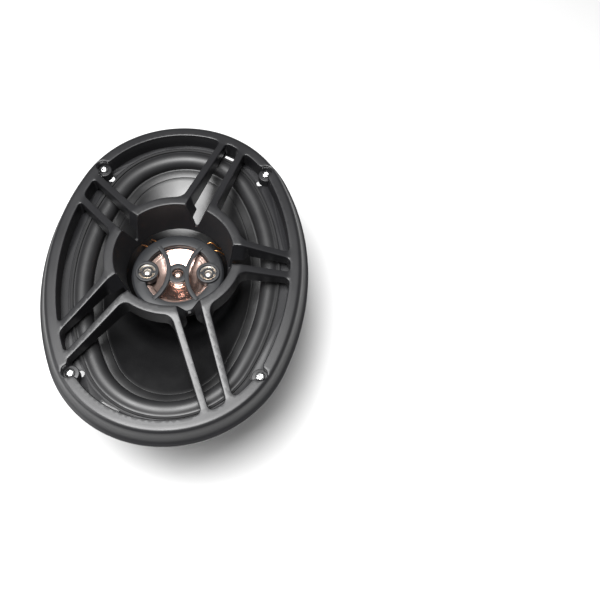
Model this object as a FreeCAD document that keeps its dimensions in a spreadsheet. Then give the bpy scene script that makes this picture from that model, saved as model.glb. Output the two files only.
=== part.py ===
"""Oval coaxial car speaker, lying on its magnet and facing up.

The origin is at the middle of the underside. Z is the speaker's axis, Y runs along the oval's
long side and X along its short side. All sizes are in millimetres and live in the sheet "sizes".
"""

import FreeCAD, Part
import math
import os

import Sketcher
from FreeCAD import Placement, Rotation, Vector

doc = FreeCAD.newDocument("coaxial_speaker")

SIZES = {
    # motor, from the base up
    "bootWall": 2.0, "bootHeight": 24.0,
    "backPlateRadius": 42.0, "backPlateHeight": 6.0,
    "magnetRadius": 45.0, "magnetBore": 26.0, "magnetHeight": 18.0,
    "topPlateRadius": 42.0, "topPlateHeight": 6.0, "gapRadius": 20.0,
    "poleRadius": 18.4, "poleAbovePlate": 1.0,
    # voice coil
    "formerBore": 18.8, "formerWall": 0.2, "windingWall": 0.4,
    "windingHeight": 12.0, "neckHeight": 50.0, "coilClearance": 0.3,
    # cone and its suspension
    "coneWall": 0.8, "coneEdgeX": 52.0, "coneEdgeY": 88.5, "coneEdgeHeight": 73.2,
    "bandWidth": 6.4, "rollWidth": 11.0, "rollWall": 0.6, "rollBulge": 4.8,
    "rollLap": 1.2, "innerOvalCentre": 48.65, "neckFillet": 0.6, "bandLap": 0.5,
    "spiderHeight": 45.0, "spiderWall": 0.5, "spiderWave": 1.1,
    "spiderWaves": 4.0,
    # basket
    "flangeHeight": 80.0, "sheet": 1.2, "flangeOverhang": 4.0,
    "basketFloorRadius": 47.0, "spiderLedge": 4.0, "basketBore": 30.0,
    "windowWidth": 24.0, "windowBottom": 50.0, "windowTop": 72.0, "windowCount": 8.0,
    "windowReach": 400.0, "cutDepth": 40.0, "cutOverlap": 0.01,
    "kneeHeight": 62.0, "kneeInset": 3.0,
    "spareHoleX": 55.5, "spareHoleY": 78.5, "spareHoleRadius": 2.6,
    "screwX": 60.05, "screwY": 81.1, "screwHoleRadius": 2.1,
    "slotX": 34.5, "slotY": 101.3, "slotLength": 13.0, "slotWidth": 4.0, "slotLean": 27.0,
    "grooveInset": 3.0, "grooveWidth": 0.8, "grooveDepth": 0.5,
    "gasketInset": 0.6, "gasketWidth": 1.7, "gasketHeight": 1.4,
    "rearGasketWidth": 4.0, "rearGasketHeight": 2.0,
    # grille
    "ringX": 78.3, "ringY": 112.4, "outerOvalCentre": 43.3, "ringWidth": 13.4,
    "ringTop": 93.5, "ringSkin": 2.2, "ringFace": 5.6, "shoulder": 3.2, "bandFoot": 87.0,
    "lipTop": 82.0, "lipBottom": 80.2, "lipWidth": 1.6, "ringPower": 2.15,
    "coveShare": 0.25, "coveSag": 0.2,
    "collarTop": 105.1, "collarRadius": 40.0, "collarWidth": 6.5, "collarDepth": 12.5,
    "funnelRadius": 34.8, "funnelBottom": 81.5, "funnelWall": 1.8,
    "spokeWidth": 5.0, "spokeBottom": 85.5, "spokeHalfAngle": 12.6, "spokeLap": 1.2,
    "spokeUnder": 89.0, "spokeUnderRight": 92.6,
    "slitHalfWidth": 7.6, "slitBottom": 86.5, "slitApexHalfWidth": 0.8, "slitOvershoot": 1.0,
    "pocketRadius": 4.6, "pocketDepth": 5.6, "bossRadius": 5.6, "bossLap": 1.5,
    "screwHeadRadius": 3.0, "screwHeadHeight": 2.2, "screwHeadChamfer": 0.8, "screwShank": 2.0,
    # pod
    "podTop": 78.5, "podRadius": 32.2, "podBevel": 1.6, "podCoverHeight": 3.2, "podOpening": 24.0,
    "podDepth": 17.0, "podFloorRadius": 15.0, "podWall": 1.6, "podShoulder": 5.0, "podBend": 0.9,
    "stemRadius": 5.0, "nutAcross": 14.0, "nutHeight": 3.0,
    "tweeterOffset": 21.3, "tweeterRingRadius": 8.2, "tweeterBore": 5.9, "tweeterRise": 1.8,
    "cupSink": 0.4, "cupDepth": 2.2, "cupFloor": 0.8, "cupRim": 0.6, "cupFlare": 0.6,
    "hubRadius": 7.8, "hubBore": 3.9, "hubDepth": 3.0, "hubRise": 0.3,
    "barWidth": 3.1, "barNear": 6.3, "barRadius": 30.0, "barReach": 25.8,
    "barDepth": 2.6, "barRise": 0.5,
    "dishRadius": 22.8, "dishNeck": 7.0, "dishDepth": 5.0, "dishWall": 0.5, "dishDrop": 0.7,
    "dishLip": 2.0, "capHeight": 1.2, "frameGap": 0.4, "frameInset": 3.0, "frameHeight": 2.4,
    "midMagnetRadius": 12.0, "midMagnetHeight": 2.6,
    "tweeterRadius": 3.6, "hubDomeRadius": 3.85, "domeWall": 0.3, "domeBend": 1.25,
    "domeLift": 1.4,
    # terminals and leads
    "boardWidth": 50.0, "boardWall": 1.6, "boardBottom": 36.0, "boardLength": 18.0,
    "boardInset": 6.0,
    "bladeWidthPositive": 6.3, "bladeWidthNegative": 4.8, "bladeLength": 12.0, "bladeWall": 0.8,
    "bladeSpacing": 14.0, "bladeStandoff": 2.5, "leadRadius": 0.6, "leadRise": 5.0,
    "capRadius": 2.9, "capLength": 10.0, "capSide": 19.0, "capStandoff": 1.6,
}

# angle at the collar, angle at the ring, half the pair's spread along the ring, underside cell
SPOKE_PAIRS = (
    (0, 0, 7.9, "spokeUnderRight"),
    (72, 71.6, 8.3, "spokeUnder"),
    (144, 137.5, 10.6, "spokeUnder"),
    (216, 222.5, 10.6, "spokeUnder"),
    (288, 288.4, 8.3, "spokeUnder"),
)

# (x, share of the blade's y, z) that a lead passes on its way from the blade to the cone
LEAD_ROUTE = (
    (62, 1.0, 50), (55, 1.0, 56.5), (45, 1.0, 54), (36, 1.0, 51.5), (28, 0.9, 50.2),
)
LEAD_START, LEAD_BEND = 52, 60


def make_sheet():
    """Put every driving dimension in the spreadsheet, with its name as the alias."""
    made = doc.addObject("Spreadsheet::Sheet", "sizes")
    for row, (name, value) in enumerate(SIZES.items(), start=1):
        made.set("A%d" % row, name)
        made.set("B%d" % row, str(value))
        made.setAlias("B%d" % row, name)
    doc.recompute()
    return made


sheet = make_sheet()


def value(text):
    """The number that an expression of the sheet comes to."""
    return float(sheet.evalExpression(text))


def cell(name):
    """The expression of one cell."""
    return "sizes." + name


def origin_plane(body, role):
    return next(item for item in body.Origin.OriginFeatures if item.Role == role)


def new_sketch(body, name, role):
    """A sketch on one of the body's own origin planes."""
    sketch = body.newObject("Sketcher::SketchObject", name)
    sketch.AttachmentSupport = (origin_plane(body, role), [""])
    sketch.MapMode = "FlatFace"
    return sketch


def pin(sketch, kind, geometry, point, text):
    """Bind one coordinate of a point to the sheet."""
    number = value(text)
    if abs(number) < 1e-9:
        axis = -2 if kind == "DistanceX" else -1
        sketch.addConstraint(Sketcher.Constraint("PointOnObject", geometry, point, axis))
        return
    index = sketch.addConstraint(Sketcher.Constraint(kind, -1, 1, geometry, point, number))
    sketch.setExpression("Constraints[%d]" % index, text)


def add_polygon(sketch, corners):
    """A closed outline of straight lines, each corner bound to the sheet."""
    points = [Vector(value(across), value(up), 0) for across, up in corners]
    count = len(points)
    first = sketch.GeometryCount
    for index in range(count):
        line = Part.LineSegment(points[index], points[(index + 1) % count])
        sketch.addGeometry(line, False)
    for index in range(count):
        follower = first + (index + 1) % count
        sketch.addConstraint(Sketcher.Constraint("Coincident", first + index, 2, follower, 1))
    for index, (across, up) in enumerate(corners):
        pin(sketch, "DistanceX", first + index, 1, across)
        pin(sketch, "DistanceY", first + index, 1, up)


def turned(label, *outlines, x=None, y=None):
    """A body revolved about its Z axis from one or more outlines of (radius, height)."""
    body = doc.addObject("PartDesign::Body", label)
    for number, corners in enumerate(outlines):
        sketch = new_sketch(body, "%s_outline_%d" % (label, number), "XZ_Plane")
        add_polygon(sketch, corners)
        turn = body.newObject("PartDesign::Revolution", "%s_turn_%d" % (label, number))
        turn.Profile = sketch
        turn.ReferenceAxis = (sketch, ["V_Axis"])
        turn.Angle = 360.0
    if x is not None:
        body.setExpression("Placement.Base.x", x)
    if y is not None:
        body.setExpression("Placement.Base.y", y)
    return body


def ring(label, inner, outer, low, high, **place):
    """A flat ring or disc."""
    corners = [(inner, low), (outer, low), (outer, high), (inner, high)]
    return turned(label, corners, **place)


def add_oval(sketch, half_x, half_y, centre):
    """Four tangent arcs; centre is how far the end arcs' centres stand from the middle."""
    reach = "(%s + %s - (%s))" % (centre, half_x, half_y)
    side_text = "(%s) + ((%s)^2 - %s^2) / (2*%s)" % (half_x, centre, reach, reach)
    end_text = "(%s) - (%s)" % (half_y, centre)
    side, end, high = value(side_text), value(end_text), value(centre)
    back = side - value(half_x)
    turn = math.atan2(high, back)
    quarter = math.pi / 2
    first = sketch.GeometryCount
    arcs = [
        (Vector(-back, 0, 0), side, -turn, turn),
        (Vector(0, high, 0), end, turn, 2*quarter - turn),
        (Vector(back, 0, 0), side, 2*quarter - turn, 2*quarter + turn),
        (Vector(0, -high, 0), end, 2*quarter + turn, 4*quarter - turn),
    ]
    for middle, radius, start, finish in arcs:
        circle = Part.Circle(middle, Vector(0, 0, 1), radius)
        sketch.addGeometry(Part.ArcOfCircle(circle, start, finish), False)
    for index in range(4):
        follower = first + (index + 1) % 4
        sketch.addConstraint(Sketcher.Constraint("Tangent", first + index, 2, follower, 1))
    for index in (1, 3):
        sketch.addConstraint(Sketcher.Constraint("PointOnObject", first + index, 3, -2))
        side_of = centre if index == 1 else "-(%s)" % centre
        pin(sketch, "DistanceY", first + index, 3, side_of)
    for index, text in enumerate((side_text, end_text, side_text, end_text)):
        number = Sketcher.Constraint("Radius", first + index, value(text))
        placed = sketch.addConstraint(number)
        sketch.setExpression("Constraints[%d]" % placed, text)


def oval_pad(label, ovals, low, thickness):
    """A flat plate between two ovals, or inside one."""
    body = doc.addObject("PartDesign::Body", label)
    sketch = new_sketch(body, label + "_ovals", "XY_Plane")
    sketch.setExpression("AttachmentOffset.Base.z", low)
    for half_x, half_y, centre in ovals:
        add_oval(sketch, half_x, half_y, centre)
    pad = body.newObject("PartDesign::Pad", label + "_pad")
    pad.Profile = sketch
    pad.setExpression("Length", thickness)
    return body


def bound(kind, name, **expressions):
    """A Part primitive with its sizes and place bound to the sheet."""
    made = doc.addObject(kind, name)
    for key, text in expressions.items():
        path = {"x": "Placement.Base.x", "y": "Placement.Base.y", "z": "Placement.Base.z"}
        made.setExpression(path.get(key, key), text)
    return made


def join(name, pieces):
    made = doc.addObject("Part::MultiFuse", name)
    made.Shapes = pieces
    return made


def cut(name, base, tool):
    made = doc.addObject("Part::Cut", name)
    made.Base = base
    made.Tool = tool
    return made


def loft(name, sections):
    made = doc.addObject("Part::Loft", name)
    made.Sections = sections
    made.Solid = True
    made.Ruled = True
    return made


def circle_section(name, radius, height):
    return bound("Part::Circle", name, Radius=radius, z=height)


def oval_section(name, half_x, half_y, height):
    """A closed sketch of the oval, long side along Y."""
    made = doc.addObject("Sketcher::SketchObject", name)
    add_oval(made, half_x, half_y, cell("innerOvalCentre"))
    made.setExpression("Placement.Base.z", height)
    return made


def offset_oval(extra):
    """The grille family's oval, moved out by extra."""
    half_x = "sizes.ringX + " + extra
    half_y = "sizes.ringY + " + extra
    return (half_x, half_y, cell("outerOvalCentre"))


def cone_oval(extra):
    """The cone family's oval, moved out by extra."""
    half_x = "sizes.coneEdgeX + " + extra
    half_y = "sizes.coneEdgeY + " + extra
    return (half_x, half_y, cell("innerOvalCentre"))


def make_motor():
    """Boot, back plate, magnet, top plate, pole piece and stem."""
    base = cell("bootWall")
    plate = base + " + sizes.backPlateHeight"
    gap = plate + " + sizes.magnetHeight"
    top = gap + " + sizes.topPlateHeight"
    shell = "sizes.magnetRadius + sizes.bootWall"
    boot = turned("magnet_boot", [
        ("0", "0"), (shell, "0"), (shell, cell("bootHeight")),
        (cell("magnetRadius"), cell("bootHeight")), (cell("magnetRadius"), base), ("0", base)])
    back = ring("back_plate", "0", cell("backPlateRadius"), base, plate)
    magnet = ring("magnet", cell("magnetBore"), cell("magnetRadius"), plate, gap)
    front = ring("top_plate", cell("gapRadius"), cell("topPlateRadius"), gap, top)
    pole_top = top + " + sizes.poleAbovePlate"
    pole = ring("pole_piece", "0", cell("poleRadius"), plate, pole_top)
    floor = "sizes.podTop - sizes.podDepth"
    stem_top = floor + " + sizes.podWall + sizes.nutHeight"
    stem = ring("pod_stem", "0", cell("stemRadius"), pole_top, stem_top)
    return [boot, back, magnet, front, pole, stem]


def make_coil():
    """The former and the winding that moves in the gap."""
    top = "sizes.bootWall + sizes.backPlateHeight + sizes.magnetHeight + sizes.topPlateHeight"
    middle = top + " - sizes.topPlateHeight/2"
    low = middle + " - sizes.windingHeight/2"
    high = middle + " + sizes.windingHeight/2"
    outer = "sizes.formerBore + sizes.formerWall"
    former = ring("voice_coil_former", cell("formerBore"), outer, low,
                  "sizes.neckHeight + sizes.coneWall")
    winding = ring("voice_coil_winding", outer, outer + " + sizes.windingWall", low, high)
    return [former, winding]


def make_cone():
    """A straight-sided cone from the round neck to the oval edge, with a flat outer band."""
    neck = "sizes.formerBore + sizes.formerWall"
    edge = cone_oval("0")
    root = neck + " + sizes.neckFillet"
    low = [circle_section("cone_neck_under", root, cell("neckHeight")),
           oval_section("cone_edge_under", edge[0], edge[1], cell("coneEdgeHeight"))]
    high = [circle_section("cone_neck_over", root, "sizes.neckHeight + sizes.coneWall"),
            oval_section("cone_edge_over", edge[0], edge[1],
                         "sizes.coneEdgeHeight + sizes.coneWall")]
    bore = bound("Part::Cylinder", "cone_bore", Radius=neck, Height="sizes.coneWall * 4",
                 z="sizes.neckHeight - sizes.coneWall")
    shell = cut("cone_shell", loft("cone_under", low), loft("cone_over", high))
    band = oval_pad("cone_band", [cone_oval("sizes.bandWidth"), cone_oval("-sizes.bandLap")],
                    "sizes.coneEdgeHeight", cell("coneWall"))
    return cut("cone", join("cone_body", [shell, band]), bore)


def oval_wire(half_x, half_y, centre, height):
    """The four-arc oval as a wire, for the sweeps."""
    sketch = doc.addObject("Sketcher::SketchObject", "path")
    add_oval(sketch, half_x, half_y, centre)
    sketch.setExpression("Placement.Base.z", height)
    return sketch


def arc_band(start, finish, bulge, wall):
    """A closed profile in the XZ plane: an arched strip from start to finish."""
    middle = (start + finish)*0.5
    along = (finish - start).normalize()
    outward = Vector(-along.z, 0, along.x)
    if outward.z < 0:
        outward = outward*-1
    lift = outward*wall
    over = Part.Arc(start + lift, middle + outward*(bulge + wall), finish + lift).toShape()
    under = Part.Arc(finish, middle + outward*bulge, start).toShape()
    ends = [Part.makeLine(finish + lift, finish), Part.makeLine(start, start + lift)]
    return Part.Wire([over, ends[0], under, ends[1]])


def swept(label, path, profile):
    """A closed profile carried round an oval path."""
    edges = Part.sortEdges(path.Shape.Edges)[0]
    shape = Part.Wire(edges).makePipeShell([profile], True, False)
    made = doc.addObject("Part::Feature", label)
    made.Shape = shape
    return made


def make_surround():
    """The half-roll between the cone's band and the flange."""
    doc.recompute()
    band_x = value("sizes.coneEdgeX + sizes.bandWidth")
    band_top = value("sizes.coneEdgeHeight + sizes.coneWall")
    flange_top = value("sizes.flangeHeight + sizes.sheet")
    start = Vector(band_x - value(cell("rollLap")), 0, band_top)
    finish = Vector(band_x + value(cell("rollWidth")), 0, flange_top)
    profile = arc_band(start, finish, value(cell("rollBulge")), value(cell("rollWall")))
    half_x, half_y, centre = cone_oval("sizes.bandWidth")
    path = oval_wire(half_x, half_y, centre, "0")
    doc.recompute()
    return swept("surround", path, profile)


def make_spider():
    """A corrugated disc from the former out to the basket's ledge."""
    inner = "sizes.formerBore + sizes.formerWall + sizes.coilClearance"
    outer = "sizes.basketFloorRadius + sizes.spiderLedge"
    steps = 2*int(value(cell("spiderWaves")))
    upper, lower = [], []
    for step in range(steps + 1):
        share = "%d/%d" % (step + 1, steps + 2)
        radius = "%s + (%s - (%s))*%s" % (inner, outer, inner, share)
        wave = "" if step % 2 == 0 else " + sizes.spiderWave"
        lower.append((radius, "sizes.spiderHeight" + wave))
        upper.append((radius, "sizes.spiderHeight + sizes.spiderWall" + wave))
    low, high = cell("spiderHeight"), "sizes.spiderHeight + sizes.spiderWall"
    outline = [(inner, low)] + lower + [(outer, low), (outer, high)] + upper[::-1]
    return turned("spider", outline + [(inner, high)])


def make_basket():
    """Cup, flared frame and flange in one pressing, with windows and holes."""
    wall = cell("sheet")
    seat = "sizes.bootWall + sizes.backPlateHeight + sizes.magnetHeight + sizes.topPlateHeight"
    inner, outer = cell("basketFloorRadius"), "sizes.basketFloorRadius + sizes.sheet"
    ledge = "sizes.basketFloorRadius + sizes.spiderLedge + sizes.sheet"
    shelf = "sizes.spiderHeight - sizes.sheet"
    cup = turned("basket_cup", [
        (cell("basketBore"), seat), (outer, seat), (outer, shelf), (ledge, shelf),
        (ledge, cell("spiderHeight")), (inner, cell("spiderHeight")),
        (inner, seat + " + " + wall), (cell("basketBore"), seat + " + " + wall)])
    opening_edge = "sizes.bandWidth + sizes.rollWidth - sizes.rollLap"
    mouth, knee = cone_oval(opening_edge), cone_oval(opening_edge + " - sizes.kneeInset")
    wide = cone_oval(opening_edge + " + sizes.sheet")
    broad = cone_oval(opening_edge + " - sizes.kneeInset + sizes.sheet")
    outside = loft("basket_outside", [
        circle_section("frame_foot", ledge, shelf),
        oval_section("frame_knee", broad[0], broad[1], cell("kneeHeight")),
        oval_section("frame_mouth", wide[0], wide[1], cell("flangeHeight"))])
    inside = loft("basket_inside", [
        circle_section("well_foot", ledge + " - " + wall, cell("spiderHeight")),
        oval_section("well_knee", knee[0], knee[1], "sizes.kneeHeight + sizes.sheet"),
        oval_section("well_mouth", mouth[0], mouth[1], cell("flangeHeight"))])
    well = bound("Part::Cylinder", "basket_well", Radius=inner, Height="sizes.sheet * 3",
                 z="sizes.spiderHeight - 2*sizes.sheet")
    opening = oval_pad("flange_opening", [mouth], "sizes.flangeHeight - sizes.cutOverlap",
                       "sizes.sheet * 2")
    flange = oval_pad("basket_flange", [offset_oval(cell("flangeOverhang"))],
                      cell("flangeHeight"), wall)
    near = "sizes.bandWidth + sizes.rollWidth + sizes.grooveInset"
    groove = oval_pad("flange_groove", [cone_oval(near), cone_oval(near + " + sizes.grooveWidth")],
                      "sizes.flangeHeight + sizes.sheet - sizes.grooveDepth", cell("sheet"))
    tools = [inside, well, opening, groove] + window_tools() + hole_tools()
    body = join("basket_body", [cup, outside, flange])
    return cut("basket", body, join("basket_openings", tools))


def window_tools():
    """Long boxes through the middle, each opening two windows opposite each other."""
    made = []
    count = int(value(cell("windowCount")))//2
    for index in range(count):
        box = bound("Part::Box", "window_%d" % (index + 1), Length=cell("windowReach"),
                    Width=cell("windowWidth"), Height="sizes.windowTop - sizes.windowBottom")
        turn = Rotation(Vector(0, 0, 1), 180.0*index/count)
        corner = Vector(value("-sizes.windowReach/2"), value("-sizes.windowWidth/2"),
                        value(cell("windowBottom")))
        box.Placement = Placement(turn.multVec(corner), turn)
        made.append(box)
    return made


def four_corners():
    return [(sx, sy) for sx in (-1, 1) for sy in (-1, 1)]


def hole_tools():
    """The flange's screw holes, its spare set and its two curved slots."""
    made = []
    for kind, radius in (("screw", "screwHoleRadius"), ("spareHole", "spareHoleRadius")):
        for number, (sx, sy) in enumerate(four_corners()):
            made.append(bound("Part::Cylinder", "%s_tool_%d" % (kind, number),
                              Radius=cell(radius), Height="sizes.sheet * 4",
                              x="%d * sizes.%sX" % (sx, kind), y="%d * sizes.%sY" % (sy, kind),
                              z="sizes.flangeHeight - sizes.sheet"))
    for side in (-1, 1):
        box = bound("Part::Box", "slot_tool_%d" % (side + 1), Length=cell("slotLength"),
                    Width=cell("slotWidth"), Height="sizes.sheet * 4")
        lean = Rotation(Vector(0, 0, 1), -value(cell("slotLean")))
        half = Vector(value("sizes.slotLength/2"), value("sizes.slotWidth/2"), 0)
        middle = Vector(side*value(cell("slotX")), side*value(cell("slotY")),
                        value("sizes.flangeHeight - sizes.sheet"))
        box.Placement = Placement(middle - lean.multVec(half), lean)
        made.append(box)
    return made


def make_gaskets():
    """The trim ring round the surround's edge and the seal behind the flange."""
    edge = "sizes.bandWidth + sizes.rollWidth + sizes.gasketInset"
    front = oval_pad("front_gasket", [cone_oval(edge), cone_oval(edge + " + sizes.gasketWidth")],
                     "sizes.flangeHeight + sizes.sheet", cell("gasketHeight"))
    rim = cell("flangeOverhang")
    inner = rim + " - sizes.rearGasketWidth"
    rear = oval_pad("rear_gasket", [offset_oval(rim), offset_oval(inner)],
                    "sizes.flangeHeight - sizes.rearGasketHeight", cell("rearGasketHeight"))
    return [front, rear]


def ring_profile():
    """The ring's section: flat face, rounded shoulder, steep band, flared lip, hollow under."""
    inner = value(cell("ringX"))
    low = value("sizes.flangeHeight + sizes.sheet")
    top, skin = value(cell("ringTop")), value(cell("ringSkin"))
    width, face = value(cell("ringWidth")), value(cell("ringFace"))
    bend, foot = value(cell("shoulder")), value(cell("bandFoot"))
    lip_top, lip_low = value(cell("lipTop")), value(cell("lipBottom"))
    lip_width = value(cell("lipWidth"))
    corner = bend*(1 - math.sqrt(0.5))
    side = face + bend
    cove = Vector(side + value(cell("coveShare"))*(width - side), 0,
                  0.5*(foot + lip_top) - value(cell("coveSag"))*(foot - lip_top))
    marks = [Vector(0, 0, low), Vector(0, 0, top), Vector(face, 0, top),
             Vector(side - corner, 0, top - corner), Vector(side, 0, top - bend),
             Vector(side, 0, foot), cove, Vector(width, 0, lip_top), Vector(width, 0, lip_low),
             Vector(width - lip_width, 0, lip_low), Vector(side - skin, 0, foot - skin),
             Vector(side - skin, 0, top - bend), Vector(face, 0, top - skin),
             Vector(skin, 0, top - skin), Vector(skin, 0, low)]
    marks = [mark + Vector(inner, 0, 0) for mark in marks]
    edges = [Part.makeLine(marks[0], marks[1]), Part.makeLine(marks[1], marks[2]),
             Part.Arc(*marks[2:5]).toShape(), Part.makeLine(marks[4], marks[5]),
             Part.Arc(*marks[5:8]).toShape()]
    for index in range(7, len(marks)):
        edges.append(Part.makeLine(marks[index], marks[(index + 1) % len(marks)]))
    return Part.Wire(edges)


def make_ring_body():
    """The grille's oval ring, its section carried round the inner oval."""
    half_x, half_y, centre = offset_oval("0")
    path = oval_wire(half_x, half_y, centre, "0")
    doc.recompute()
    return swept("grille_ring", path, ring_profile())


def ring_point(angle):
    """Where a line at this angle meets the ring's inner oval."""
    half_x, half_y = value(cell("ringX")), value(cell("ringY"))
    power = value(cell("ringPower"))
    across, along = abs(math.cos(angle))/half_x, abs(math.sin(angle))/half_y
    reach = (across**power + along**power)**(-1/power)
    return Vector(reach*math.cos(angle), reach*math.sin(angle), 0)


def spoke_lines():
    """Each spoke's middle line, from the ring to the collar, and its underside at the collar."""
    lines = []
    half = math.radians(value(cell("spokeHalfAngle")))
    hub = value("sizes.collarRadius + sizes.collarWidth - sizes.spokeLap")
    for collar_angle, ring_angle, spread, under in SPOKE_PAIRS:
        at = math.radians(ring_angle)
        middle = ring_point(at)
        tangent = (ring_point(at + 0.01) - ring_point(at - 0.01)).normalize()
        for side in (-1, 1):
            turn = math.radians(collar_angle) + side*half
            inner = Vector(hub*math.cos(turn), hub*math.sin(turn), 0)
            lines.append((middle + tangent*(side*spread), inner, under))
    return lines


def make_spokes():
    """Deep ribs whose front edges climb from the ring to the collar."""
    made = []
    for number, (outer, inner, under) in enumerate(spoke_lines(), start=1):
        along = inner - outer
        start = outer - along.normalize()*value(cell("spokeLap"))
        length = (inner - start).Length
        rib = bound("Part::Wedge", "spoke_%d" % number,
                    Xmin="-sizes.spokeWidth/2", X2min="-sizes.spokeWidth/2",
                    Xmax="sizes.spokeWidth/2", X2max="sizes.spokeWidth/2",
                    Zmin=cell("spokeBottom"), Z2min=cell(under),
                    Zmax=cell("ringTop"), Z2max=cell("collarTop"))
        rib.Ymin, rib.Ymax = 0.0, length
        rib.Placement = Placement(start, Rotation(Vector(0, 1, 0), along))
        made.append(rib)
    return made


def make_collar():
    """The raised centre ring with its funnel wall."""
    under = "sizes.collarTop - sizes.collarDepth"
    lean = "(sizes.collarRadius - sizes.funnelRadius)/(sizes.collarTop - sizes.funnelBottom)"
    knee = "sizes.funnelRadius + sizes.funnelWall + %s*(%s - sizes.funnelBottom)" % (lean, under)
    outer = "sizes.collarRadius + sizes.collarWidth"
    return turned("grille_collar", [
        (cell("collarRadius"), cell("collarTop")),
        (cell("funnelRadius"), cell("funnelBottom")),
        ("sizes.funnelRadius + sizes.funnelWall", cell("funnelBottom")),
        (knee, under), (outer, under), (outer, cell("collarTop"))])


def slit_tools():
    """V-shaped cuts that break the collar between the two spokes of each pair."""
    made = []
    near = "sizes.funnelRadius - 3*sizes.slitOvershoot"
    far = "sizes.collarRadius + sizes.collarWidth + sizes.slitOvershoot"
    count = len(SPOKE_PAIRS)
    for index in range(count):
        angle = 2*math.pi*index/count
        radial = Vector(math.cos(angle), math.sin(angle), 0)
        tangent = Vector(-math.sin(angle), math.cos(angle), 0)
        slit = bound("Part::Wedge", "slit_%d" % (index + 1),
                     Xmin="-sizes.slitApexHalfWidth", Xmax=cell("slitApexHalfWidth"),
                     X2min="-sizes.slitHalfWidth", X2max=cell("slitHalfWidth"),
                     Ymin=cell("slitBottom"), Ymax="sizes.collarTop + sizes.slitOvershoot/2",
                     Zmin=near, Z2min=near, Zmax=far, Z2max=far)
        slit.Placement = Placement(Vector(), Rotation(tangent, Vector(0, 0, 1), radial, "XYZ"))
        made.append(slit)
    return made


def make_grille():
    """Ring, collar, ten spokes and four screw bosses as one moulding."""
    floor = "sizes.ringTop - sizes.pocketDepth"
    low = "sizes.flangeHeight + sizes.sheet"
    bosses, pockets = [], []
    for number, (sx, sy) in enumerate(four_corners()):
        place = {"x": "%d * sizes.screwX" % sx, "y": "%d * sizes.screwY" % sy}
        bosses.append(bound("Part::Cylinder", "boss_%d" % number, Radius=cell("bossRadius"),
                            Height="%s + sizes.bossLap - (%s)" % (floor, low), z=low,
                            **place))
        pockets.append(bound("Part::Cylinder", "pocket_%d" % number, z=floor,
                             Radius=cell("pocketRadius"), Height=cell("cutDepth"), **place))
        pockets.append(bound("Part::Cylinder", "boss_bore_%d" % number,
                             Radius=cell("screwHoleRadius"), Height=cell("cutDepth"),
                             z="sizes.flangeHeight - sizes.sheet", **place))
    body = join("grille_body", [make_ring_body(), make_collar()] + make_spokes() + bosses)
    return cut("grille", body, join("grille_openings", slit_tools() + pockets))


def make_screws():
    made = []
    floor = "sizes.ringTop - sizes.pocketDepth"
    head, shank = cell("screwHeadRadius"), cell("screwShank")
    top = floor + " + sizes.screwHeadHeight"
    for number, (sx, sy) in enumerate(four_corners(), start=1):
        corners = [("0", cell("flangeHeight")), (shank, cell("flangeHeight")), (shank, floor),
                   (head, floor), (head, top + " - sizes.screwHeadChamfer"),
                   (head + " - sizes.screwHeadChamfer", top), ("0", top)]
        made.append(turned("grille_screw_%d" % number, corners,
                           x="%d * sizes.screwX" % sx, y="%d * sizes.screwY" % sy))
    return made


def make_pod_shell():
    """The pod's bowl and the nut that holds it on the stem."""
    floor = "sizes.podTop - sizes.podDepth"
    under = "sizes.podTop - sizes.podCoverHeight"
    wall = cell("podWall")
    outer = "sizes.podRadius - 0.5*sizes.podBevel"
    shoulder = under + " - sizes.podShoulder"
    housing = turned("pod_housing", [
        (cell("stemRadius"), floor), (cell("podFloorRadius"), floor), (outer, shoulder),
        (outer, under), (outer + " - " + wall, under),
        (outer + " - " + wall, shoulder + " + sizes.podBend"),
        (cell("podFloorRadius"), floor + " + " + wall), (cell("stemRadius"), floor + " + " + wall)])
    seat = floor + " + " + wall
    nut = bound("Part::Prism", "pod_nut_blank", Polygon="6", Circumradius="sizes.nutAcross/2",
                Height=cell("nutHeight"), z=seat)
    bore = bound("Part::Cylinder", "pod_nut_bore", Radius=cell("stemRadius"),
                 Height=cell("cutDepth"), z="sizes.podTop - sizes.podDepth")
    return [housing, cut("pod_nut", nut, bore)]


def pod_bar(side):
    """One curved bar across the pod's opening."""
    high = "sizes.podTop + sizes.barRise"
    low = high + " - sizes.barDepth"
    centre = "%d * (sizes.barNear + sizes.barRadius)" % side
    inner = "sizes.barRadius - sizes.barWidth/2"
    bar = ring("pod_bar_ring_%d" % (side + 1), inner, inner + " + sizes.barWidth", low, high,
               x=centre)
    limit = bound("Part::Cylinder", "pod_bar_limit_%d" % (side + 1), Radius=cell("barReach"),
                  Height=cell("cutDepth"), z="sizes.podTop - sizes.podDepth")
    made = doc.addObject("Part::Common", "pod_bar_%d" % (side + 1))
    made.Base, made.Tool = bar, limit
    return made


def hub_floor():
    """The height of the hub's underside, where the centre dome stands."""
    return "sizes.podTop + sizes.hubRise - sizes.hubDepth"


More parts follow.
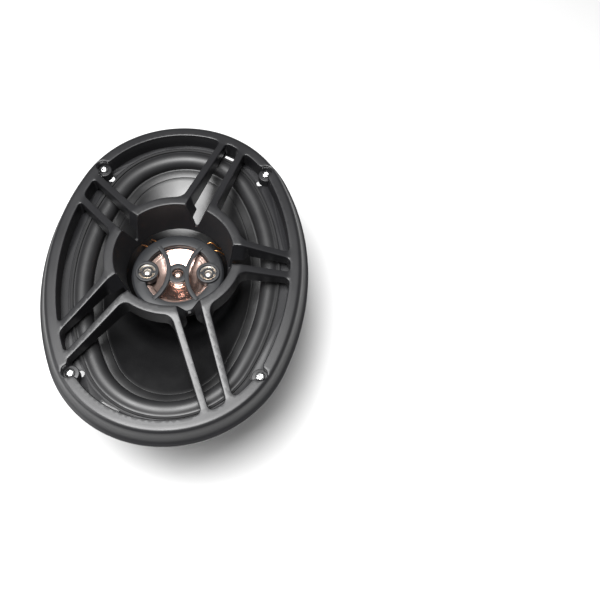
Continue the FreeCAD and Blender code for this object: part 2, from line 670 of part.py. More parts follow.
def make_pod_cover():
    """Front ring, two tweeter rings, hub and bars in one moulding."""
    under, top = "sizes.podTop - sizes.podCoverHeight", cell("podTop")
    face = "sizes.podRadius - sizes.podBevel"
    deep = "sizes.podTop - sizes.podDepth"
    pieces = [turned("pod_cover_ring", [
        (cell("podOpening"), under), (cell("podRadius"), under),
        (cell("podRadius"), top + " - sizes.podBevel"), (face, top), (cell("podOpening"), top)])]
    bores = []
    for side in (-1, 1):
        across = "%d * sizes.tweeterOffset" % side
        pieces.append(bound("Part::Cylinder", "tweeter_ring_%d" % (side + 1), x=across, z=under,
                            Radius=cell("tweeterRingRadius"),
                            Height="sizes.podCoverHeight + sizes.tweeterRise"))
        bores.append(bound("Part::Cylinder", "tweeter_bore_%d" % (side + 1), x=across, z=deep,
                           Radius=cell("tweeterBore"), Height=cell("cutDepth")))
        pieces.append(pod_bar(side))
    pieces.append(bound("Part::Cylinder", "pod_hub", Radius=cell("hubRadius"),
                        Height=cell("hubDepth"), z=hub_floor()))
    bores.append(bound("Part::Cylinder", "pod_hub_bore", Radius=cell("hubBore"),
                       Height=cell("cutDepth"), z=deep))
    return cut("pod_cover", join("pod_cover_body", pieces), join("pod_cover_bores", bores))


def make_midrange():
    """The dish that moves, the frame round it and the magnet behind it."""
    under = "sizes.podTop - sizes.podCoverHeight"
    rim = under + " - sizes.dishDrop"
    neck = rim + " - sizes.dishDepth"
    wall, edge = cell("dishWall"), cell("dishRadius")
    lip = edge + " - sizes.dishLip"
    dish = turned("midrange_dish", [
        (cell("dishNeck"), neck), (lip, rim + " - " + wall), (edge, rim + " - " + wall),
        (edge, rim), (lip, rim), (cell("dishNeck"), neck + " + " + wall)])
    cap = ring("midrange_cap", "0", cell("dishNeck"), neck, neck + " + sizes.capHeight")
    frame = ring("midrange_frame", edge + " + sizes.frameGap",
                 "sizes.podRadius - sizes.frameInset", under + " - sizes.frameHeight", under)
    base = "sizes.podTop - sizes.podDepth + sizes.podWall + sizes.nutHeight"
    magnet = ring("midrange_magnet", "0", cell("midMagnetRadius"), base,
                  base + " + sizes.midMagnetHeight")
    return [dish, cap, frame, magnet]


def make_tweeters():
    """A cup and a dome in each of the pod's two rings, and a small dome in the hub."""
    made = []
    low = "sizes.podTop - sizes.podCoverHeight + sizes.tweeterRise - sizes.cupSink"
    rim, floor = low + " + sizes.cupDepth", low + " + sizes.cupFloor"
    bore = cell("tweeterBore")
    throat = bore + " - sizes.cupRim"
    for side, name in ((-1, "left"), (1, "right")):
        across = "%d * sizes.tweeterOffset" % side
        made.append(turned("tweeter_cup_" + name, [
            ("0", low), (bore, low), (bore, rim), (throat, rim),
            (throat + " - sizes.cupFlare", floor), ("0", floor)], x=across))
        made.append(dome("tweeter_dome_" + name, cell("tweeterRadius"),
                         low + " + sizes.domeLift", across))
    made.append(dome("centre_dome", cell("hubDomeRadius"), hub_floor(), "0"))
    return made


def dome(label, radius, low, across):
    """A shallow shell cut from two spheres, standing on its rim."""
    bend = "%s * sizes.domeBend" % radius
    middle = "%s - %s * sqrt(sizes.domeBend^2 - 1)" % (low, radius)
    outer = bound("Part::Sphere", label + "_outside", Radius=bend, x=across, z=middle)
    inner = bound("Part::Sphere", label + "_inside", Radius=bend + " - sizes.domeWall",
                  x=across, z=middle)
    above = bound("Part::Cylinder", label + "_slab", Radius=radius, Height=cell("cutDepth"),
                  x=across, z=low)
    made = doc.addObject("Part::Common", label + "_shell")
    made.Base, made.Tool = cut(label + "_ball", outer, inner), above
    made.Label = label
    return made


def lead_wire(label, route, radius):
    """Straight runs joined by tangent arcs, each as large as its two runs allow."""
    edges, last = [], route[0]
    for before, corner, after in zip(route, route[1:], route[2:]):
        back, forward = before - corner, after - corner
        half = (math.pi - back.getAngle(forward))/2
        trim = 0.45*min(back.Length, forward.Length)
        entry = corner + back.normalize()*trim
        leave = corner + forward.normalize()*trim
        toward = (back + forward).normalize()
        bend = trim/math.tan(half)
        middle = corner + toward*(bend/math.cos(half) - bend)
        edges.append(Part.LineSegment(last, entry).toShape())
        edges.append(Part.Arc(entry, middle, leave).toShape())
        last = leave
    edges.append(Part.LineSegment(last, route[-1]).toShape())
    start = (route[1] - route[0]).normalize()
    circle = Part.Circle(route[0], start, radius).toShape()
    made = doc.addObject("Part::Feature", label)
    made.Shape = Part.Wire(edges).makePipeShell([Part.Wire([circle])], True, False)
    return made


def make_terminals():
    """A board on the basket's side, its two blades and the leads to the cone."""
    reach = "sizes.basketFloorRadius + sizes.sheet"
    board_low, board_top = cell("boardBottom"), "sizes.boardBottom + sizes.boardWall"
    blank = bound("Part::Box", "board_blank", Length=cell("boardLength"),
                  Width=cell("boardWidth"), Height=cell("boardWall"), z=board_low,
                  x="sizes.basketFloorRadius - sizes.boardInset", y="-sizes.boardWidth/2")
    curve = bound("Part::Cylinder", "board_curve", Radius=reach, Height=cell("cutDepth"),
                  z=board_low + " - sizes.cutDepth/2")
    made = [cut("terminal_board", blank, curve)]
    for side, name, width in ((1, "positive", "bladeWidthPositive"),
                              (-1, "negative", "bladeWidthNegative")):
        middle = "%d * sizes.bladeSpacing/2" % side
        made.append(bound("Part::Box", "terminal_" + name, Length=cell("bladeLength"),
                          Width=cell(width), Height=cell("bladeWall"), z=board_top,
                          x=reach + " + sizes.bladeStandoff",
                          y="%s - sizes.%s/2" % (middle, width)))
        across = side*value("sizes.bladeSpacing/2")
        high = value(board_top + " + sizes.bladeWall + sizes.leadRadius")
        route = [Vector(LEAD_START, across, high),
                 Vector(LEAD_BEND, across, high + value(cell("leadRise")))]
        route += [Vector(x, across*share, z) for x, share, z in LEAD_ROUTE]
        made.append(lead_wire("lead_" + name, route, value(cell("leadRadius"))))
    return made


def make_capacitor():
    """The tweeter capacitor, lying on the terminal board."""
    can = bound("Part::Cylinder", "capacitor", Radius=cell("capRadius"), Height=cell("capLength"),
                x="sizes.basketFloorRadius + sizes.capStandoff", y=cell("capSide"),
                z="sizes.boardBottom + sizes.boardWall + sizes.capRadius")
    can.Placement.Rotation = Rotation(Vector(0, 1, 0), 90)
    return [can]


PARTS = make_motor() + make_coil() + [make_cone(), make_surround(), make_spider(), make_basket()]
PARTS += make_gaskets() + [make_grille()] + make_screws() + make_pod_shell()
PARTS += [make_pod_cover()] + make_midrange() + make_tweeters()
PARTS += make_terminals() + make_capacitor()
doc.recompute()

for item in doc.Objects:
    faults = [word for word in item.State if word in ("Invalid", "Error")]
    assert not faults, "%s: %s" % (item.Label, item.State)

os.makedirs("parts", exist_ok=True)
for part in PARTS:
    shape = part.Shape
    assert not shape.isNull() and shape.isValid(), part.Label
    assert len(shape.Solids) == 1, "%s has %d solids" % (part.Label, len(shape.Solids))
    shape.exportStep("parts/%s.step" % part.Label)
    print("%-22s %10.1f mm3" % (part.Label, shape.Volume))
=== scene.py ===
import math

import bmesh
import bpy
import numpy as np
from bpy.props import FloatProperty, FloatVectorProperty, PointerProperty
from bpy.types import Operator, Panel, PropertyGroup
from mathutils import Matrix, Vector
from mathutils.geometry import delaunay_2d_cdt
from mathutils.kdtree import KDTree


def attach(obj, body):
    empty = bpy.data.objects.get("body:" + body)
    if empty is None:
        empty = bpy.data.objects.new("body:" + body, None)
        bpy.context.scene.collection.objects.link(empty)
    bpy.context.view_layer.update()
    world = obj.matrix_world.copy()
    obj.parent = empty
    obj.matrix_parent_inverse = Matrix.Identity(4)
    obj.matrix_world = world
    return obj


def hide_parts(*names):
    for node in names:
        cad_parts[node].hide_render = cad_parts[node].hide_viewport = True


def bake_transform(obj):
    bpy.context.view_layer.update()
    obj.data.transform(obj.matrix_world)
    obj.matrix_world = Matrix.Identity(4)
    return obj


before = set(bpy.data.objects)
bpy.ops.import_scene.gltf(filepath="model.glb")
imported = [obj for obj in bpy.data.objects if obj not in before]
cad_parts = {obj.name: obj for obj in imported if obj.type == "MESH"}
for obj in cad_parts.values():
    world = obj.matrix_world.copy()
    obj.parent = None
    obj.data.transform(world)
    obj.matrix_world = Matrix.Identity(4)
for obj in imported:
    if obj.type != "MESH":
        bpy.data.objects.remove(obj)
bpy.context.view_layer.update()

bl_info = {
    "name": "Oval coaxial speaker",
    "version": (1, 0, 0),
    "blender": (4, 5, 0),
    "location": "3D View > Sidebar > Speaker",
    "description": "Makes the visible pieces of an oval coaxial car speaker",
    "category": "Object",
}

MM = 0.001
FULL_TURN = 2*math.pi
QUARTER_ROUND = (math.pi/2, math.pi/3, math.pi/6, 0)
CORNERS = [(across, along) for across in (-1, 1) for along in (-1, 1)]


# ---------------------------------------------------------------- colours and nodes

def paint(code):
    """An sRGB hex colour as linear red, green, blue and alpha."""
    parts = [int(code[place:place + 2], 16)/255 for place in (1, 3, 5)]
    linear = [part/12.92 if part <= 0.04045 else ((part + 0.055)/1.055)**2.4 for part in parts]
    return (*linear, 1.0)


def add_node(tree, kind, inputs=None, **settings):
    """Add a node, give it its settings, and fill or link its inputs."""
    node = tree.nodes.new(kind)
    for key, setting in settings.items():
        setattr(node, key, setting)
    for key, given in (inputs or {}).items():
        if isinstance(given, bpy.types.NodeSocket):
            tree.links.new(given, node.inputs[key])
        else:
            node.inputs[key].default_value = given
    return node


def surface(name, colour, rough, spread=0.05, grain=0.4, relief=0.02, mottle=14.0, shade=0.12,
            stretch=(1, 1, 1), **shader):
    """A finish whose colour and gloss wander slowly and whose skin has a fine grain.

    grain and mottle are feature sizes in millimetres, relief is the grain's height."""
    material = bpy.data.materials.new(name)
    material.use_nodes = True
    tree = material.node_tree
    tree.nodes.clear()
    place = add_node(tree, "ShaderNodeTexCoord").outputs["Object"]
    drawn = add_node(tree, "ShaderNodeMapping", {"Vector": place, "Scale": stretch})
    fine = add_node(tree, "ShaderNodeTexNoise",
                    {"Vector": drawn.outputs[0], "Scale": 1/(grain*MM), "Detail": 3.0})
    slow = add_node(tree, "ShaderNodeTexNoise",
                    {"Vector": place, "Scale": 1/(mottle*MM), "Detail": 4.0})
    dark = add_node(tree, "ShaderNodeMixRGB", {
        "Fac": slow.outputs["Fac"], "Color1": [part*(1 - shade) for part in colour[:3]] + [1],
        "Color2": [min(1, part*(1 + shade)) for part in colour[:3]] + [1]})
    gloss = add_node(tree, "ShaderNodeMapRange", {
        "Value": slow.outputs["Fac"], "From Min": 0.3, "From Max": 0.7,
        "To Min": rough - spread, "To Max": rough + spread})
    bump = add_node(tree, "ShaderNodeBump", {
        "Height": fine.outputs["Fac"], "Distance": relief*MM, "Strength": 1.0})
    skin = add_node(tree, "ShaderNodeBsdfPrincipled", {
        "Base Color": dark.outputs["Color"], "Roughness": gloss.outputs["Result"],
        "Normal": bump.outputs["Normal"], **shader})
    add_node(tree, "ShaderNodeOutputMaterial", {"Surface": skin.outputs[0]})
    return material


def bands(spacing):
    """The scale at which a wave texture's bands stand this many millimetres apart."""
    return math.pi/10/(spacing*MM)


def node_of(material, kind):
    """A material's first node of one kind."""
    return next(node for node in material.node_tree.nodes if node.bl_idname == kind)


def grille_plastic(base):
    """Black ABS from a spark-eroded mould: satin, with a fine even grain that breaks highlights."""
    return surface("moulded_abs", base, 0.40, 0.03, grain=0.55, relief=0.018,
                   mottle=30, shade=0.10)


def flange_steel(base):
    """Powder-coated steel: black, a little glossier than the plastic, with orange peel."""
    return surface("powder_coated_steel", base, 0.48, 0.05, grain=1.6, relief=0.02,
                   mottle=22, shade=0.10, **{"Specular IOR Level": 0.3})


def gasket_foam(base):
    """Closed-cell foam: matt black, pitted with half-millimetre cells."""
    return surface("closed_cell_foam", base, 0.85, 0.05, grain=0.6, relief=0.12,
                   mottle=9)


def surround_rubber(base):
    """Butyl rubber: smooth black skin with a soft broad highlight and a faint bloom."""
    return surface("butyl_rubber", base, 0.47, 0.05, grain=0.5, relief=0.006,
                   mottle=18, shade=0.18)


def cone_poly(base):
    """Mica-filled polypropylene: dark, with round drawing marks that spread the sheen sideways."""
    material = surface("mica_polypropylene", base, 0.34, 0.05, grain=0.5,
                       relief=0.004, mottle=20, shade=0.16)
    tree = material.node_tree
    bump = node_of(material, "ShaderNodeBump")
    skin = node_of(material, "ShaderNodeBsdfPrincipled")
    lay = add_node(tree, "ShaderNodeUVMap", uv_map="lay")
    # drawing marks 0.9 mm apart, coarser than the real ones so that they show
    rings = add_node(tree, "ShaderNodeTexWave", {
        "Vector": lay.outputs[0], "Scale": bands(0.9), "Distortion": 0.6, "Detail": 2.0,
        "Detail Scale": 2.0}, wave_type="BANDS", bands_direction="Y")
    fluted = add_node(tree, "ShaderNodeBump", {
        "Height": rings.outputs["Fac"], "Distance": 0.006*MM, "Strength": 0.6,
        "Normal": bump.outputs["Normal"]})
    tree.links.new(fluted.outputs["Normal"], skin.inputs["Normal"])
    return material


def spider_cloth(base):
    """Cotton set in phenolic resin: tan, open weave with threads 0.8 mm apart."""
    material = surface("phenolic_cotton", base, 0.75, 0.05, grain=0.5, relief=0.05,
                       mottle=12, shade=0.18)
    tree = material.node_tree
    place = node_of(material, "ShaderNodeTexCoord").outputs["Object"]
    bump = node_of(material, "ShaderNodeBump")
    waves = [add_node(tree, "ShaderNodeTexWave", {
        "Vector": place, "Scale": bands(0.8), "Distortion": 0.2},
        wave_type="BANDS", bands_direction=way) for way in ("X", "Y")]
    weave = add_node(tree, "ShaderNodeMath", {0: waves[0].outputs["Fac"],
                                             1: waves[1].outputs["Fac"]}, operation="MAXIMUM")
    woven = add_node(tree, "ShaderNodeBump", {
        "Height": weave.outputs[0], "Distance": 0.12*MM, "Normal": bump.outputs["Normal"]})
    skin = node_of(material, "ShaderNodeBsdfPrincipled")
    tree.links.new(woven.outputs["Normal"], skin.inputs["Normal"])
    return material


def former_foil(base):
    """Aluminium foil rolled into a tube: satin, with faint rolling streaks round it."""
    return surface("rolled_foil", base, 0.30, 0.06, grain=0.5, relief=0.01,
                   stretch=(0.2, 0.2, 3), Metallic=1.0)


def winding_copper(base):
    """Enamelled copper wire: warm, glossy, wound in fine level turns."""
    return surface("enamelled_copper", base, 0.30, 0.05, grain=0.4, relief=0.05,
                   stretch=(0.05, 0.05, 1), Metallic=1.0)


def motor_steel(base):
    """Zinc-plated mild steel: grey, satin, with turning marks and cloudy passivation."""
    return surface("zinc_plated_steel", base, 0.34, 0.08, grain=0.6, relief=0.012,
                   mottle=8, shade=0.12, stretch=(1, 1, 4), Metallic=1.0)


def magnet_ferrite(base):
    """Sintered ferrite: charcoal, matt, with the pores of pressed powder."""
    return surface("sintered_ferrite", base, 0.62, 0.06, grain=0.5, relief=0.06,
                   mottle=10, shade=0.12)


def boot_rubber(base):
    """Vulcanised rubber: matt black with moulding flow and a dry bloom."""
    return surface("vulcanised_rubber", base, 0.60, 0.07, grain=0.7, relief=0.03,
                   mottle=16, shade=0.15)


def screw_zinc(base):
    """Bright zinc on a steel screw: near-white metal with a soft polish."""
    return surface("bright_zinc", base, 0.20, 0.05, grain=0.5, relief=0.01,
                   mottle=3, shade=0.06, Metallic=1.0)


def pod_plastic(base):
    """Satin-painted ABS: grey-black and even, smoother than the grille's moulded skin."""
    return surface("satin_painted_abs", base, 0.44, 0.03, grain=0.4, relief=0.008,
                   mottle=20, shade=0.06, **{"Specular IOR Level": 0.35})


def midrange_metal(base):
    """Rose-anodised spun aluminium: mirror-like with a warm tint and faint spinning marks."""
    return surface("rose_anodised_aluminium", base, 0.22, 0.03, grain=0.6,
                   relief=0.004, mottle=7, shade=0.05, Metallic=1.0)


def tweeter_metal(base):
    """Polished aluminium: bright and nearly clear, with a little warmth painted into its colour as
    a painted reflection of its surroundings.
    """
    return surface("polished_aluminium", base, 0.32, 0.03, grain=0.5, relief=0.003,
                   mottle=5, shade=0.04, Metallic=1.0)


def board_resin(base):
    """Phenolic paper board: dull black-brown with a fibrous cut edge."""
    return surface("phenolic_board", base, 0.55, 0.06, grain=0.5, relief=0.03,
                   mottle=6, shade=0.2, stretch=(1, 1, 6))


def lead_copper(base):
    """Braided copper tinsel: bright orange metal with a fine plaited relief."""
    return surface("braided_tinsel", base, 0.34, 0.06, grain=0.35, relief=0.08,
                   mottle=2, shade=0.2, Metallic=1.0)


def capacitor_film(base):
    """Dipped epoxy over a film capacitor: brick red, glossy, slightly rippled."""
    return surface("dipped_epoxy", base, 0.25, 0.04, grain=2.5, relief=0.05,
                   mottle=5, shade=0.1, **{"Coat Weight": 0.3})


FINISHES = {maker.__name__: maker for maker in (
    grille_plastic, flange_steel, gasket_foam, surround_rubber, cone_poly, spider_cloth,
    former_foil, winding_copper, motor_steel, magnet_ferrite, boot_rubber, screw_zinc,
    pod_plastic, midrange_metal, tweeter_metal, board_resin, lead_copper, capacitor_film)}
made_finishes = {}


def finish_for(slot):
    """The material of a slot, made once."""
    if slot not in made_finishes:
        base = getattr(bpy.context.scene.speaker_colours, slot)
        made_finishes[slot] = FINISHES[slot](base)
    return made_finishes[slot]


# ---------------------------------------------------------------- shapes, in millimetres

def rounded(corners, steps=4):
    """A closed outline with each corner (x, z, radius) turned into a small arc."""
    outline = []
    count = len(corners)
    for index, corner in enumerate(corners):
        here = Vector(corner[:2])
        radius = corner[2] if len(corner) > 2 else 0
        if not radius:
            outline.append(tuple(here))
            continue
        back = Vector(corners[index - 1][:2]) - here
        ahead = Vector(corners[(index + 1) % count][:2]) - here
        angle = back.angle(ahead)
        trim = min(radius/math.tan(angle/2), 0.49*back.length, 0.49*ahead.length)
        start, end = here + back.normalized()*trim, here + ahead.normalized()*trim
        for step in range(steps + 1):
            share = step/steps
            one = start.lerp(here, share)
            two = here.lerp(end, share)
            outline.append(tuple(one.lerp(two, share)))
    return outline


def lathe(outline, steps=96, x=0.0, y=0.0):
    """Turn a closed outline of (radius, height) about a vertical axis."""
    points, rings = [], []
    for radius, height in outline:
        if radius < 1e-6:
            rings.append([len(points)]*steps)
            points.append((x, y, height))
            continue
        rings.append(list(range(len(points), len(points) + steps)))
        for step in range(steps):
            turn = FULL_TURN*step/steps
            points.append((x + radius*math.cos(turn), y + radius*math.sin(turn), height))
    return points, strips(rings, closed=True)


def strips(rings, closed):
    """Quads between neighbouring rings of vertices; repeated vertices are dropped."""
    faces = []
    last = len(rings) if closed else len(rings) - 1
    for number in range(last):
        low, high = rings[number], rings[(number + 1) % len(rings)]
        for step in range(len(low)):
            turn = (step + 1) % len(low)
            corner = []
            for vertex in (low[step], low[turn], high[turn], high[step]):
                if vertex not in corner:
                    corner.append(vertex)
            if len(corner) > 2:
                faces.append(corner)
    return faces


class Oval:
    """Four tangent arcs; every oval with the same centre is an even offset of the others."""

    def __init__(self, half_x, half_y, centre):
        reach = centre + half_x - half_y
        self.centre = centre
        self.back = (centre**2 - reach**2)/(2*reach)
        self.side = half_x + self.back
        self.end = half_y - centre
        self.turn = math.atan2(centre, self.back)

    def beyond(self, x, y):
        """How far a point lies outside the oval; inside is negative."""
        x, y = abs(x), abs(y)
        if math.atan2(y - self.centre, x) >= self.turn:
            return math.hypot(x, y - self.centre) - self.end
        return math.hypot(x + self.back, y) - self.side

    def track(self, count):
        """Evenly spaced points round the oval, each with its outward direction."""
        turn, full = self.turn, math.pi
        arcs = ((-self.back, 0, self.side, -turn, turn),
                (0, self.centre, self.end, turn, full - turn),
                (self.back, 0, self.side, full - turn, full + turn),
                (0, -self.centre, self.end, full + turn, 2*full - turn))
        lengths = [radius*(finish - start) for _, _, radius, start, finish in arcs]
        made = []
        for step in range(count):
            along = sum(lengths)*step/count
            number = 0
            while along > lengths[number] and number < 3:
                along -= lengths[number]
                number += 1
            x, y, radius, start, _ = arcs[number]
            angle = start + along/radius
            way = Vector((math.cos(angle), math.sin(angle)))
            made.append((Vector((x, y)) + way*radius, way))
        return made

    def at(self, angle):
        """The point of the oval in this direction from the middle."""
        low, high = 1.0, 400.0
        way = Vector((math.cos(angle), math.sin(angle)))
        for _ in range(50):
            middle = (low + high)/2
            if self.beyond(*(way*middle)) > 0:
                high = middle
            else:
                low = middle
        return way*low


def laid(rows, points):
    """Add rows of (place in plan, height) to points, and give each row's vertex numbers."""
    rings = []
    for row in rows:
        rings.append(list(range(len(points), len(points) + len(row))))
        points += [(place.x, place.y, height) for place, height in row]
    return rings


def closed_shape(rows):
    """Join rows into one closed skin, the last row meeting the first."""
    points = []
    rings = laid(rows, points)
    return points, strips(rings, closed=True)


def sweep(track, outline):
    """Carry a closed outline of (outward, height) round a track."""
    return closed_shape([[(point + way*out, height) for point, way in track]
                         for out, height in outline])


def together(*shapes):
    """Several (points, faces) shapes as one."""
    points, faces = [], []
    for some, more in shapes:
        faces += [[vertex + len(points) for vertex in face] for face in more]
        points += [tuple(point) for point in some]
    return points, faces


def plain(thing):
    """Freeze an object's modifiers into its mesh."""
    made = bpy.data.meshes.new_from_object(
        thing.evaluated_get(bpy.context.evaluated_depsgraph_get()))
    thing.modifiers.clear()
    thing.data = made
    return thing


def new_object(name, points, faces):
    """An object from points in millimetres, with its faces turned outwards."""
    mesh = bpy.data.meshes.new(name)
    mesh.from_pydata([tuple(part*MM for part in point) for point in points], [], faces)
    grid = bmesh.new()
    grid.from_mesh(mesh)
    bmesh.ops.recalc_face_normals(grid, faces=grid.faces)
    open_edges = sum(1 for edge in grid.edges if len(edge.link_faces) != 2)
    if open_edges:
        raise RuntimeError("%s has %d open edges" % (name, open_edges))
    grid.to_mesh(mesh)
    grid.free()
    made = bpy.data.objects.new(name, mesh)
    bpy.context.scene.collection.objects.link(made)
    return made


def settle(thing, slot, body, nodes=(), smooth=38.0):
    """Shade a piece, give it its finish and hand it to the frame."""
    thing.data.polygons.foreach_set("use_smooth", [True]*len(thing.data.polygons))
    thing.data.set_sharp_from_angle(angle=math.radians(smooth))
    thing.data.materials.clear()
    thing.data.materials.append(finish_for(slot))
    if body:
        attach(thing, body)
    if nodes:
        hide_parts(*nodes)
    return thing


def turned(name, corners, slot, body, nodes=(), steps=96, x=0.0):
    """A lathe-turned piece with rounded corners."""
    points, faces = lathe(rounded(corners), steps, x)
    return settle(new_object(name, points, faces), slot, body, nodes)


# ---------------------------------------------------------------- the grille

RING = Oval(78.3, 112.4, 43.3)
RING_TOP, COLLAR_TOP, FLANGE_TOP = 93.5, 105.1, 81.2
COLLAR_IN, COLLAR_OUT, COLLAR_UNDER = 39.82, 46.5, 92.6
FUNNEL_LOW, FUNNEL_IN, FUNNEL_WALL = 81.5, 34.8, 1.8
FACE, SHOULDER, PLATE_EDGE = 5.6, 3.2, 8.2
SPOKE_HALF, SPOKE_FAN, HUB = 2.5, math.radians(12.6), 45.3
SLIT_TOP, SLIT_FOOT, SLIT_APEX = 7.6, 86.5, 0.8
POCKET, POCKET_FLOOR, BOSS = 4.4, 87.9, 5.6
SCREW_AT = (60.05, 81.1)
# angle at the collar, angle at the ring, half the spread there, underside at the collar
PAIRS = ((0, 0, 7.9, 92.6), (72, 71.6, 8.3, 89.0), (144, 137.5, 10.6, 89.0),
         (216, 222.5, 10.6, 89.0), (288, 288.4, 8.3, 89.0))
SPOKE_FOOT = 85.5
SECTOR = 360/len(PAIRS)
CENTRE = Vector((0, 0))
POCKETS = [Vector((sx*SCREW_AT[0], sy*SCREW_AT[1])) for sx, sy in CORNERS]
# rounding where a gap's edges meet: at the ring, at a screw pocket, at the collar
TURN_AT_RING, TURN_AT_POCKET, TURN_AT_COLLAR = 4.2, 1.7, 5.5
# rounding in a channel between two paired spokes: at its inner end, at the ring, at its mouth
TURN_AT_HUB, TURN_AT_END, TURN_AT_MOUTH = 2.5, 3.4, 0.9
CLOSEST = 0.12    # outline points nearer to each other than this are dropped
CALM_REACH, CALM_ROUNDS = 2.2, 12
COLLAR_FOOT, EASY_START = 45.5, 0.05
LEAN_OUT, LEAN_ASIDE, COLLAR_DRAFT = 50.0, 9.0, 1.7/12.5
FOOT_DRAW = 0.38    # how much the ring's wall draws in towards its foot
FACE_RINGS = (1.3, 2.7, 4.1, FACE, 6.4, 7.1, 7.7)
PITCH, PITCH_ROW, FACE_CLEAR = 1.8, 0.87, 0.75
FUNNEL_STEPS, LEAF_STEPS = 14, 30


def heading(angle):
    """The unit vector at an angle."""
    return Vector((math.cos(angle), math.sin(angle)))


def across_of(way):
    """A vector turned a quarter anticlockwise."""
    return Vector((-way.y, way.x))


def crossing(start, way, low, high, test):
    """Where test changes sign along a line."""
    rising = test(start + way*high) > test(start + way*low)
    for _ in range(50):
        middle = (low + high)/2
        if (test(start + way*middle) > 0) == rising:
            high = middle
        else:
            low = middle
    return start + way*low


class Spoke:
    """One spoke's middle line and its two faces in plan."""

    def __init__(self, pair, side):
        collar_angle, ring_angle, spread, self.under = pair
        at = math.radians(ring_angle)
        tangent = (RING.at(at + 0.01) - RING.at(at - 0.01)).normalized()
        self.outer = RING.at(at) + tangent*(side*spread)
        self.inner = heading(math.radians(collar_angle) + side*SPOKE_FAN)*HUB
        self.way = (self.inner - self.outer).normalized()
        self.aside = across_of(self.way)
        if self.aside.dot(tangent*side) < 0:
            self.aside = -self.aside

    def face(self, offset, collar):
        """Where a face, offset from the middle line, meets the collar and the ring."""
        start = self.outer + self.aside*offset
        at_ring = crossing(start, self.way, -12, 20, lambda p: RING.beyond(p.x, p.y))
        at_collar = crossing(start, self.way, 20, 90, lambda p: p.length - collar)
        return at_collar, at_ring


def straight(start, end, step=1.0):
    """Points along a straight line."""
    count = max(2, round((end - start).length/step))
    return [start.lerp(end, share/count) for share in range(count + 1)]


def ring_run(start, end, step=1.2):
    """Points along the ring's inner oval, turning anticlockwise."""
    first = math.atan2(start.y, start.x)
    last = math.atan2(end.y, end.x)
    if last < first:
        last += 2*math.pi
    count = max(3, round((last - first)*95/step))
    return [RING.at(first + (last - first)*share/count) for share in range(count + 1)]


def circle_run(middle, radius, first, last, step=1.0):
    """Points along an arc."""
    count = max(4, round(abs(last - first)*radius/step))
    return [middle + heading(first + (last - first)*share/count)*radius
            for share in range(count + 1)]


def trimmed(run, front, back):
    """A run without its first and last few millimetres."""
    for amount in (front, back):
        left = amount
        while left > 0 and len(run) > 2:
            first = (run[1] - run[0]).length
            if first > left:
                run = [run[0].lerp(run[1], left/first)] + run[1:]
                break
            left -= first
            run = run[1:]
        run = run[::-1]
    return run


def blended_loop(runs, sizes):
    """Join runs end to end, each join rounded over its own length."""
    count = len(runs)
    lengths = [sum((two - one).length for one, two in zip(run, run[1:])) for run in runs]
    sizes = [min(size, 0.45*lengths[index], 0.45*lengths[(index + 1) % count])
             for index, size in enumerate(sizes)]
    loop = []
    for index, run in enumerate(runs):
        shorter = trimmed(run, sizes[index - 1], sizes[index])
        following = trimmed(runs[(index + 1) % count], sizes[index], sizes[(index + 1) % count])
        loop += shorter
        start, corner, end = shorter[-1], run[-1], following[0]
        leaving, arriving = start.lerp(corner, 0.6), end.lerp(corner, 0.6)
        steps = max(3, round(2.2*sizes[index]))
        for step in range(1, steps):
            share = step/steps
            one = start.lerp(leaving, share)
            two = leaving.lerp(arriving, share)
            three = arriving.lerp(end, share)
            loop.append(one.lerp(two, share).lerp(two.lerp(three, share), share))
    kept = [loop[0]]
    for point in loop[1:]:
        if (point - kept[-1]).length > CLOSEST:
            kept.append(point)
    if (kept[0] - kept[-1]).length < CLOSEST:
        kept.pop()
    return kept


def pocket_runs(run):
    """Split a ring run where a screw pocket bites into it."""
    for (sx, sy), middle in zip(CORNERS, POCKETS):
        near = [index for index, point in enumerate(run) if (point - middle).length < POCKET]
        if not near:
            continue
        out = math.atan2(sy*SCREW_AT[1]*0.62, sx*SCREW_AT[0])
        ends = []
        for side in (-1, 1):
            low, high = 0.0, math.pi
            for _ in range(40):
                turn = (low + high)/2
                point = middle + heading(out + side*turn)*POCKET
                if RING.beyond(point.x, point.y) > 0:
                    low = turn
                else:
                    high = turn
            ends.append(out + side*low)
        arc = circle_run(middle, POCKET, ends[0], ends[1], 0.7)
        return [run[:near[0]] + [arc[0]], arc, [arc[-1]] + run[near[-1] + 1:]]
    return [run]


def gap_loop(number):
    """The outline of the opening between one pair of spokes and the next."""
    first, last = Spoke(PAIRS[number], 1), Spoke(PAIRS[(number + 1) % len(PAIRS)], -1)
    hub_first, ring_first = first.face(SPOKE_HALF, COLLAR_OUT)
    hub_last, ring_last = last.face(SPOKE_HALF, COLLAR_OUT)
    start, end = math.atan2(hub_first.y, hub_first.x), math.atan2(hub_last.y, hub_last.x)
    if end < start:
        end += FULL_TURN
    middle = pocket_runs(ring_run(ring_first, ring_last))
    if len(middle) == 1:
        middle = pocket_runs(ring_run(ring_first, ring_last)[::-1])
        middle = [run[::-1] for run in middle[::-1]]
    runs = [straight(hub_first, ring_first)] + middle + [straight(ring_last, hub_last)]
    runs.append(circle_run(CENTRE, COLLAR_OUT, end, start))
    sizes = [TURN_AT_RING] + [TURN_AT_POCKET]*(len(middle) - 1)
    sizes += [TURN_AT_RING, TURN_AT_COLLAR, TURN_AT_COLLAR]
    return calmed(blended_loop(runs, sizes))


def calmed(loop):
    """Relax an outline where a screw pocket meets the ring, so that its edge can be rounded."""
    near = [index for index, point in enumerate(loop)
            if any((point - middle).length < POCKET + CALM_REACH for middle in POCKETS)
            and RING.beyond(point.x, point.y) < 2.0]
    for _ in range(CALM_ROUNDS):
        moved = {index: loop[index].lerp((loop[index - 1] + loop[(index + 1) % len(loop)])/2, 0.6)
                 for index in near}
        for index, point in moved.items():
            loop[index] = point
    return loop


